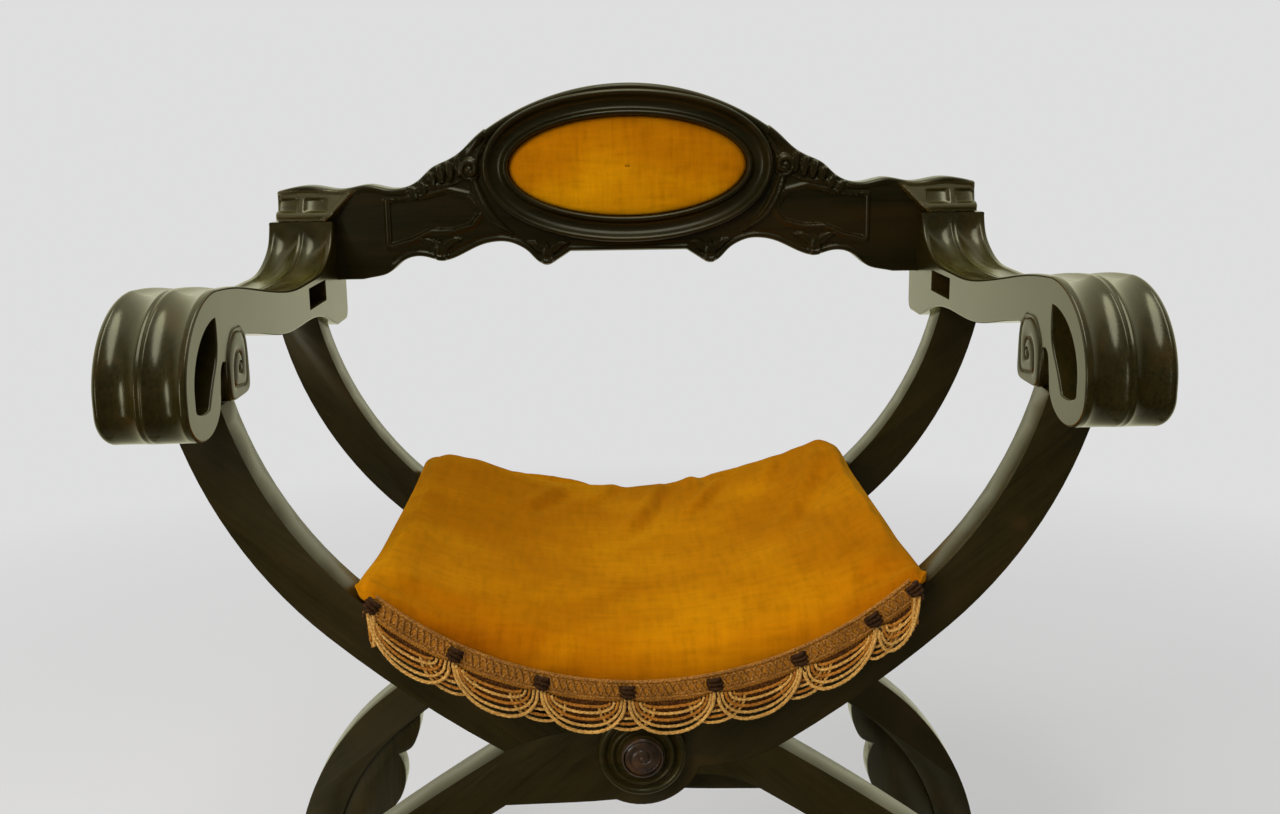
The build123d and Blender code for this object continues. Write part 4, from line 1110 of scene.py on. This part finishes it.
def shape_seat(mesh):
    """Folds, higher stuffing at the back, the deeper curve of the front edge and round corners."""
    co = coordinates(mesh) / MM
    co[:, 2] -= PIVOT
    normal_z = np.array([vertex.normal.z for vertex in mesh.vertices], float)
    x, y, z = co.T  # views, so what is written to them lands in co
    lift = fold_lift(x, y) * step(0.2, 0.7, normal_z)
    share = np.clip((z - seat_under(x)) / np.maximum(seat_top(x) - seat_under(x), 1.0), 0, 1)
    rear = np.interp(x, *REAR_RISE) * step(-90, 165, y)
    rear *= 1 - 0.45 * step(176, 204, np.abs(x)) * step(168, 200, y)
    middle = np.interp(x, *MIDDLE_RISE) * step(-215, -60, y)
    rolled = bow(np.clip(np.abs(x) - 180, 0, 31) / 33.0)
    z += lift * rolled + np.maximum(rear, middle) * share * rolled
    # the front edge hangs in its own deeper curve
    bend = hanging_arc(FRINGE_CENTRE, FRINGE_RADIUS, x, 230.0) - seat_under(x)
    z += bend * np.where(y < -185, 1.0, (1 - step(-200, -95, y)) * share)
    # its front wall stands up straight behind the braid
    base = seat_under(x) + bend
    wall = (y < FRONT_WALL) & (z < base + 0.55 * (seat_top(x) - seat_under(x)))
    z[:] = np.where(wall, base + 0.3 * (z - base), z)
    y[:] = np.where(wall, FRONT_WALL + 1.45 * (y - FRONT_WALL), y)
    for back, radius in ((1, 30.0), (-1, 9.0)):
        over_x = np.abs(x) - (PAD_HALF - radius)
        over_y = back * y - (PAD_REACH - radius)
        corner = (over_x > 0) & (over_y > 0)
        shrink = np.maximum(over_x, over_y) / (np.hypot(over_x, over_y) + 1e-9)
        x[:] = np.where(corner, np.sign(x) * (PAD_HALF - radius + over_x * shrink), x)
        y[:] = np.where(corner, back * (PAD_REACH - radius + over_y * shrink), y)
    # the pad lies on its sling
    floor = seat_under(x) + np.where(y < -185, np.minimum(bend, 0), 0)
    low = (normal_z < 0) & (np.abs(y) < 180)
    z[:] = np.where(low | (z < floor), np.maximum(z, floor + 0.1), z)
    y[:] = np.clip(y, SEAT_FRONT - 0.2, -SEAT_FRONT + 0.2)
    x[:] = np.clip(x, -210.5, 212.5)
    z += PIVOT
    mesh.vertices.foreach_set("co", (co * MM).astype(np.float32).ravel())
    mesh.update()


seat = make_seat()


def make_oval_pad():
    """A domed front, short walls and a flat back."""
    rings, spokes = 30, 120
    r = np.linspace(0.02, 1, rings)[:, None]
    t = around(spokes)
    a, b = OVAL_A - 0.6, OVAL_B - 0.6
    x, z = a * r * np.cos(t), OVAL_RISE + b * r * np.sin(t)
    dome = np.power(np.clip(1 - r**3.4, 0, 1), 0.62)
    height = -1.5 + (7.6 + 0.35 * np.sin(x * 0.05 + 1) * np.sin(z * 0.08)) * dome
    wall_r = np.array([1.0, 0.99, 0.98])[:, None]
    wall_y = PANEL_FRONT + np.array([6.0, 16.0, 20.0])[:, None]
    wall = grid_points(a * wall_r * np.cos(t), wall_y, OVAL_RISE + b * wall_r * np.sin(t))
    points = listed(grid_points(x, PANEL_FRONT - height, z), wall)
    faces = grid_faces(rings + 3, spokes, wrap=True)
    tip, last = len(points), (rings + 2) * spokes
    points = np.concatenate([points, [[0, PANEL_FRONT - height[0, 0], OVAL_RISE]]])
    faces += [[k, (k + 1) % spokes, tip] for k in range(spokes)]
    faces.append([last + k for k in range(spokes)])
    pad = piece("oval_velvet", points, faces, oval_velvet, "backrest", "velvet", ("oval_pad",), sharp=None)


make_oval_pad()


# ---------------------------------------------------------------- fringe


KNOTS = (-191.5, -134.0, -72.5, -10.5, 53.0, 114.5, 167.5, 196.5)  # places across
NAIL_RING = FRINGE_RADIUS - 4.5
BRAID_LOWER = FRINGE_RADIUS + 2.0
nail_angles = [asin(x / NAIL_RING) for x in KNOTS]
first_angle, last_angle = nail_angles[0], nail_angles[-1]
DEPTH_AXIS = np.array([0.0, 1.0, 0.0])


def hang(radius, angle, depth):
    """Points on an arc about the centre of the front edge's curve."""
    return grid_points(radius * np.sin(angle), depth, FRINGE_CENTRE - radius * np.cos(angle))


def drop_from(points, fall):
    """The points let down by their fall, as threads hang."""
    return points - np.asarray(fall, float)[..., None] * np.array([0.0, 0.0, 1.0])


soft_pieces = [seat]


def soft(name, parts, material, slot, replaces=()):
    obj = piece(name, *merged(parts), material, None, slot, replaces, sharp=None)
    soft_pieces.append(obj)
    return obj


def make_braid_backing():
    """The woven backing of the braid, with a ribbed face."""
    angle = np.linspace(first_angle - 0.006, last_angle + 0.006, 520)[None, :]
    across = np.linspace(0, 1, 15)[:, None]
    radius = FRINGE_RADIUS - 11.0 + 17.0 * across
    ribs = 0.35 * np.abs(np.sin(angle * NAIL_RING * pi / 2.4))
    bulge = 1.6 * np.sin(pi * np.clip(across * 1.05, 0, 1)) ** 0.5
    front = hang(radius, angle, SEAT_FRONT - 0.7 - bulge - ribs)
    back = hang(radius, angle, SEAT_FRONT - 0.1)
    soft("braid_backing", [slab(front, back)], braid_ground, "fringe", ("fringe_braid",))


def make_braid_cords():
    """Gimp cords along the braid's edges, and two waved ones between them."""
    run = np.linspace(first_angle - 0.005, last_angle + 0.005, 900)
    cords = [
        tube(hang(FRINGE_RADIUS - 10.2, run, SEAT_FRONT - 2.0), 1.15, 8, 0.28, 0.16),
        tube(hang(FRINGE_RADIUS + 2.2, run, SEAT_FRONT - 2.3), 1.1, 8, 0.28, 0.16),
    ]
    for phase in (0.0, pi):
        turn = run * NAIL_RING * 2 * pi / 11.0 + phase
        wave = hang(FRINGE_RADIUS - 4.0 + 4.2 * np.sin(turn), run, SEAT_FRONT - 2.9 - 0.5 * np.cos(turn))
        cords.append(tube(wave, 0.85, 7, 0.35, 0.14))
    soft("braid_cords", cords, cord_header, "fringe")


def make_skirt():
    """Dense dark threads behind the swags."""
    angle = np.linspace(first_angle - 0.004, last_angle + 0.004, 900)[None, :]
    swag = np.full(angle.shape, 15.0)
    for a, b in zip(nail_angles, nail_angles[1:]):
        t = np.clip(np.abs(2 * (angle - a) / (b - a) - 1), 0, 1)
        swag = np.where((angle >= a) & (angle <= b), 15.0 + 7.0 * np.sqrt(1 - t**2.3), swag)
    fall = (swag + 3.0) * np.linspace(0, 1, 9)[:, None]
    along = angle * NAIL_RING
    strands = 0.45 * np.abs(np.sin(along * pi / 1.9 + 2.2 * np.sin(along / 7)))
    front = drop_from(hang(BRAID_LOWER - 3.0, angle, SEAT_FRONT - 0.75 - strands), fall)
    back = drop_from(hang(BRAID_LOWER - 3.0, angle, SEAT_FRONT - 0.15), fall)
    soft("fringe_skirt", [slab(front, back)], skirt_brown, "fringe")


def swag_cord(middle, reach, top, drop, depth, radius, power, count):
    """A cord that hangs in a loop on both sides of an angle."""
    t = np.linspace(-1, 1, count)
    sag = np.sqrt(np.clip(1 - np.abs(t) ** power, 0, 1))
    path = drop_from(hang(top, middle + reach * t, depth), (drop + BRAID_LOWER - top) * sag)
    return tube(path, radius, 8, 0.24, 0.17)


def make_loops():
    """Concentric swags from knot to knot, over smaller loops that hang under the knots."""
    cream, orange = [], []
    for a, b in zip(nail_angles, nail_angles[1:]):
        for k in range(5):
            reach, top = (b - a) / 2 * (0.97 - 0.085 * k), BRAID_LOWER + 1.0 + 0.9 * k
            depth, radius = SEAT_FRONT - 3.3 + 0.28 * k, 1.3 if k == 0 else 1.08
            cord = swag_cord((a + b) / 2, reach, top, 28.4 - 5.0 * k, depth, radius, 2.3, 46)
            (cream if k in (0, 1, 3) else orange).append(cord)
    for before, a, after in zip(nail_angles, nail_angles[1:], nail_angles[2:]):
        for k in range(4):
            reach, depth = (after - before) / 4 * (0.62 - 0.10 * k), SEAT_FRONT - 1.3 + 0.2 * k
            cord = swag_cord(a, reach, BRAID_LOWER + 8.0, 25.6 - 4.4 * k, depth, 1.1, 2.2, 30)
            (cream if k in (0, 2) else orange).append(cord)
    # the ends, where the cords run straight down
    t = np.linspace(0, 1, 16)
    for end, way in ((first_angle, -1), (last_angle, 1)):
        for k in range(5):
            depth = SEAT_FRONT - 2.2 - 0.8 * sin(1.7 * k)
            start = hang(NAIL_RING + 3.0, end + way * 0.004 * (k - 2.6), depth)
            path = drop_from(np.repeat(start[None, :], 16, axis=0), (30 - 1.7 * abs(k - 2)) * t)
            path[:, 0] += 0.5 * np.sin(3.0 * t + k)
            (cream if k % 2 else orange).append(tube(path, 1.15, 8, 0.24, 0.17))
    soft("fringe_loops_cream", cream, cord_cream, "fringe", ("fringe_cords",))
    soft("fringe_loops_orange", orange, cord_orange, "fringe")


def make_knots():
    """Three wraps at each nail, and a short tail."""
    knots = []
    t = np.linspace(0, 2 * pi, 22, endpoint=False)
    share = np.linspace(0, 1, 8)
    for angle in nail_angles:
        centre = hang(NAIL_RING + 1.0, angle, SEAT_FRONT - 3.4)
        side = np.array([cos(angle), 0, sin(angle)])
        down = np.array([sin(angle), 0, -cos(angle)])
        for k, offset in enumerate((-3.0, 0.0, 3.0)):
            wrap = centre + np.outer(np.cos(t) * (4.7 - 0.5 * abs(k - 1)), side)
            wrap = wrap + np.outer(np.sin(t) * 2.3, DEPTH_AXIS) + np.outer(offset + 0.6 * np.sin(t + k), down)
            knots.append(tube(wrap, 1.75, 8, 0.3, 0.12, closed=True))
        tail = centre + np.outer(4 + 7 * share, down) + np.outer(1.2 - 1.4 * share, DEPTH_AXIS)
        knots.append(tube(tail, 2.4 - 1.4 * share, 8, 0.3, 0.1))
    soft("fringe_knots", knots, knot_brown, "nail_heads", ("fringe_nails",))


def make_sling():
    """The canvas that carries the pad, with a hem along each free edge."""
    low, high = (np.array(corner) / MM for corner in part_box("seat_sling"))
    middle = SEAT_CENTRE - (low[2] - PIVOT) - 1.5  # radius of the canvas's middle
    reach = asin(high[0] / (middle + 1.5))
    angle = np.linspace(-reach, reach, 120)[None, :]
    depth = np.linspace(low[1], high[1], 100)[:, None]
    from_edge = np.minimum(depth - low[1], high[1] - depth)
    half = 0.65 + 0.55 * (1 - step(13.0, 15.0, from_edge)) - 0.25 * np.exp(-(((from_edge - 11.5) / 1.2) ** 2))
    under, over = (
        grid_points(r * np.sin(angle), depth, SEAT_CENTRE - r * np.cos(angle))
        for r in (middle + half, middle - half)
    )
    sling = soft("sling_shown", [slab(under, over)], sling_canvas, "webbing", ("seat_sling",))


make_braid_backing()
make_braid_cords()
make_skirt()
make_loops()
make_knots()
make_sling()

for obj in soft_pieces:
    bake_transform(obj)


# ---------------------------------------------------------------- stage and light


STUDIO = (0.735, 0.735, 0.74)
ROOM = 0.06  # the unlit room behind the camera, as reflections show it
CEILING = 0.32
FRONT_FLOOR = (0.036, 0.024, 0.015)
FLOOR_PAINT = (0.80, 0.80, 0.80)
FLOOR_REACH = 14.0  # metres


def floor_paper():
    """Pale paper: it takes the object's shadow near by, and runs into the backdrop's grey further off."""
    s = Shader("floor_paper")
    s.tree.nodes.remove(s.bsdf)
    place = s.node("ShaderNodeTexCoord").outputs["Object"]
    depth = s.node("ShaderNodeSeparateXYZ", {0: place}).outputs["Y"]
    far = s.node("ShaderNodeVectorMath", {0: place}, operation="LENGTH").outputs["Value"]
    away = s.ramp(s.math("MULTIPLY", far, 0.25), (0.18, 0.30), (0.55, 1.0))
    rays = s.node("ShaderNodeLightPath").outputs
    front = s.ramp(s.math("MULTIPLY_ADD", depth, 0.25, 0.5), (0.36, FRONT_FLOOR), (0.62, STUDIO))
    paint = s.node("ShaderNodeBsdfDiffuse", {"Color": FLOOR_PAINT}).outputs[0]
    seen = s.node("ShaderNodeEmission", {"Color": STUDIO}).outputs[0]
    in_gloss = s.node("ShaderNodeEmission", {"Color": front}).outputs[0]
    by_camera = s.either(s.math("MULTIPLY", rays["Is Camera Ray"], away), paint, seen)
    surface = s.either(rays["Is Glossy Ray"], by_camera, in_gloss)
    s.feed(s.tree.nodes["Material Output"].inputs["Surface"], surface)
    return s.material


def make_floor():
    mesh = bpy.data.meshes.new("floor")
    corners = [(x * FLOOR_REACH, y * FLOOR_REACH, 0) for x, y in ((-1, -1), (1, -1), (1, 1), (-1, 1))]
    mesh.from_pydata(corners, [], [(0, 1, 2, 3)])
    mesh.materials.append(floor_paper())
    floor = bpy.data.objects.new("floor", mesh)
    bpy.context.scene.collection.objects.link(floor)


def studio_world():
    """The camera sees plain grey; reflections see it behind the object and a darker room in front."""
    world = bpy.data.worlds.new("studio")
    bpy.context.scene.world = world
    world.use_nodes = True
    s = Nodes(world.node_tree)
    soft_light = s.tree.nodes["Background"]
    s.feed(soft_light.inputs["Color"], (1.0, 0.99, 0.97))
    s.feed(soft_light.inputs["Strength"], 0.38)
    rays = s.node("ShaderNodeLightPath").outputs
    direction = s.node("ShaderNodeTexCoord").outputs["Generated"]
    split = s.node("ShaderNodeSeparateXYZ", {0: direction}).outputs
    shade = s.ramp(s.math("MULTIPLY_ADD", split["Y"], 0.5, 0.5), (0.34, ROOM), (0.60, STUDIO))
    above = s.ramp(split["Z"], (0.42, 0.0), (0.86, CEILING))
    seen = s.node("ShaderNodeBackground", {"Color": STUDIO}).outputs[0]
    glossy = s.node("ShaderNodeBackground", {"Color": s.mix(1.0, shade, above, "LIGHTEN")}).outputs[0]
    for_gloss = s.either(rays["Is Glossy Ray"], soft_light.outputs[0], glossy)
    for_camera = s.either(rays["Is Camera Ray"], for_gloss, seen)
    s.feed(s.tree.nodes["World Output"].inputs["Surface"], for_camera)


def softbox(name, place, target, width, height, power, colour=(1, 1, 1)):
    """An oval area lamp aimed at a target, in metres and watts."""
    data = bpy.data.lights.new(name, "AREA")
    data.shape = "ELLIPSE"
    data.size, data.size_y = width, height
    data.energy = power
    data.color = colour
    lamp = bpy.data.objects.new(name, data)
    bpy.context.scene.collection.objects.link(lamp)
    lamp.location = place
    aim = Vector(target) - Vector(place)
    lamp.rotation_euler = aim.to_track_quat("-Z", "Y").to_euler()
    return lamp


make_floor()
studio_world()
key = softbox("key", (-1.3, -1.75, 1.85), (0, 0, 0.5), 1.3, 1.3, 36, (1.0, 0.985, 0.95))
key.visible_glossy = False
softbox("window", (-1.45, -1.75, 0.78), (-0.1, -0.1, 0.65), 0.34, 1.1, 6, (1.0, 0.985, 0.96))
softbox("overhead", (0.0, -0.45, 2.6), (0, -0.3, 0.5), 0.8, 2.8, 24)

bpy.context.scene.view_settings.view_transform = "Standard"
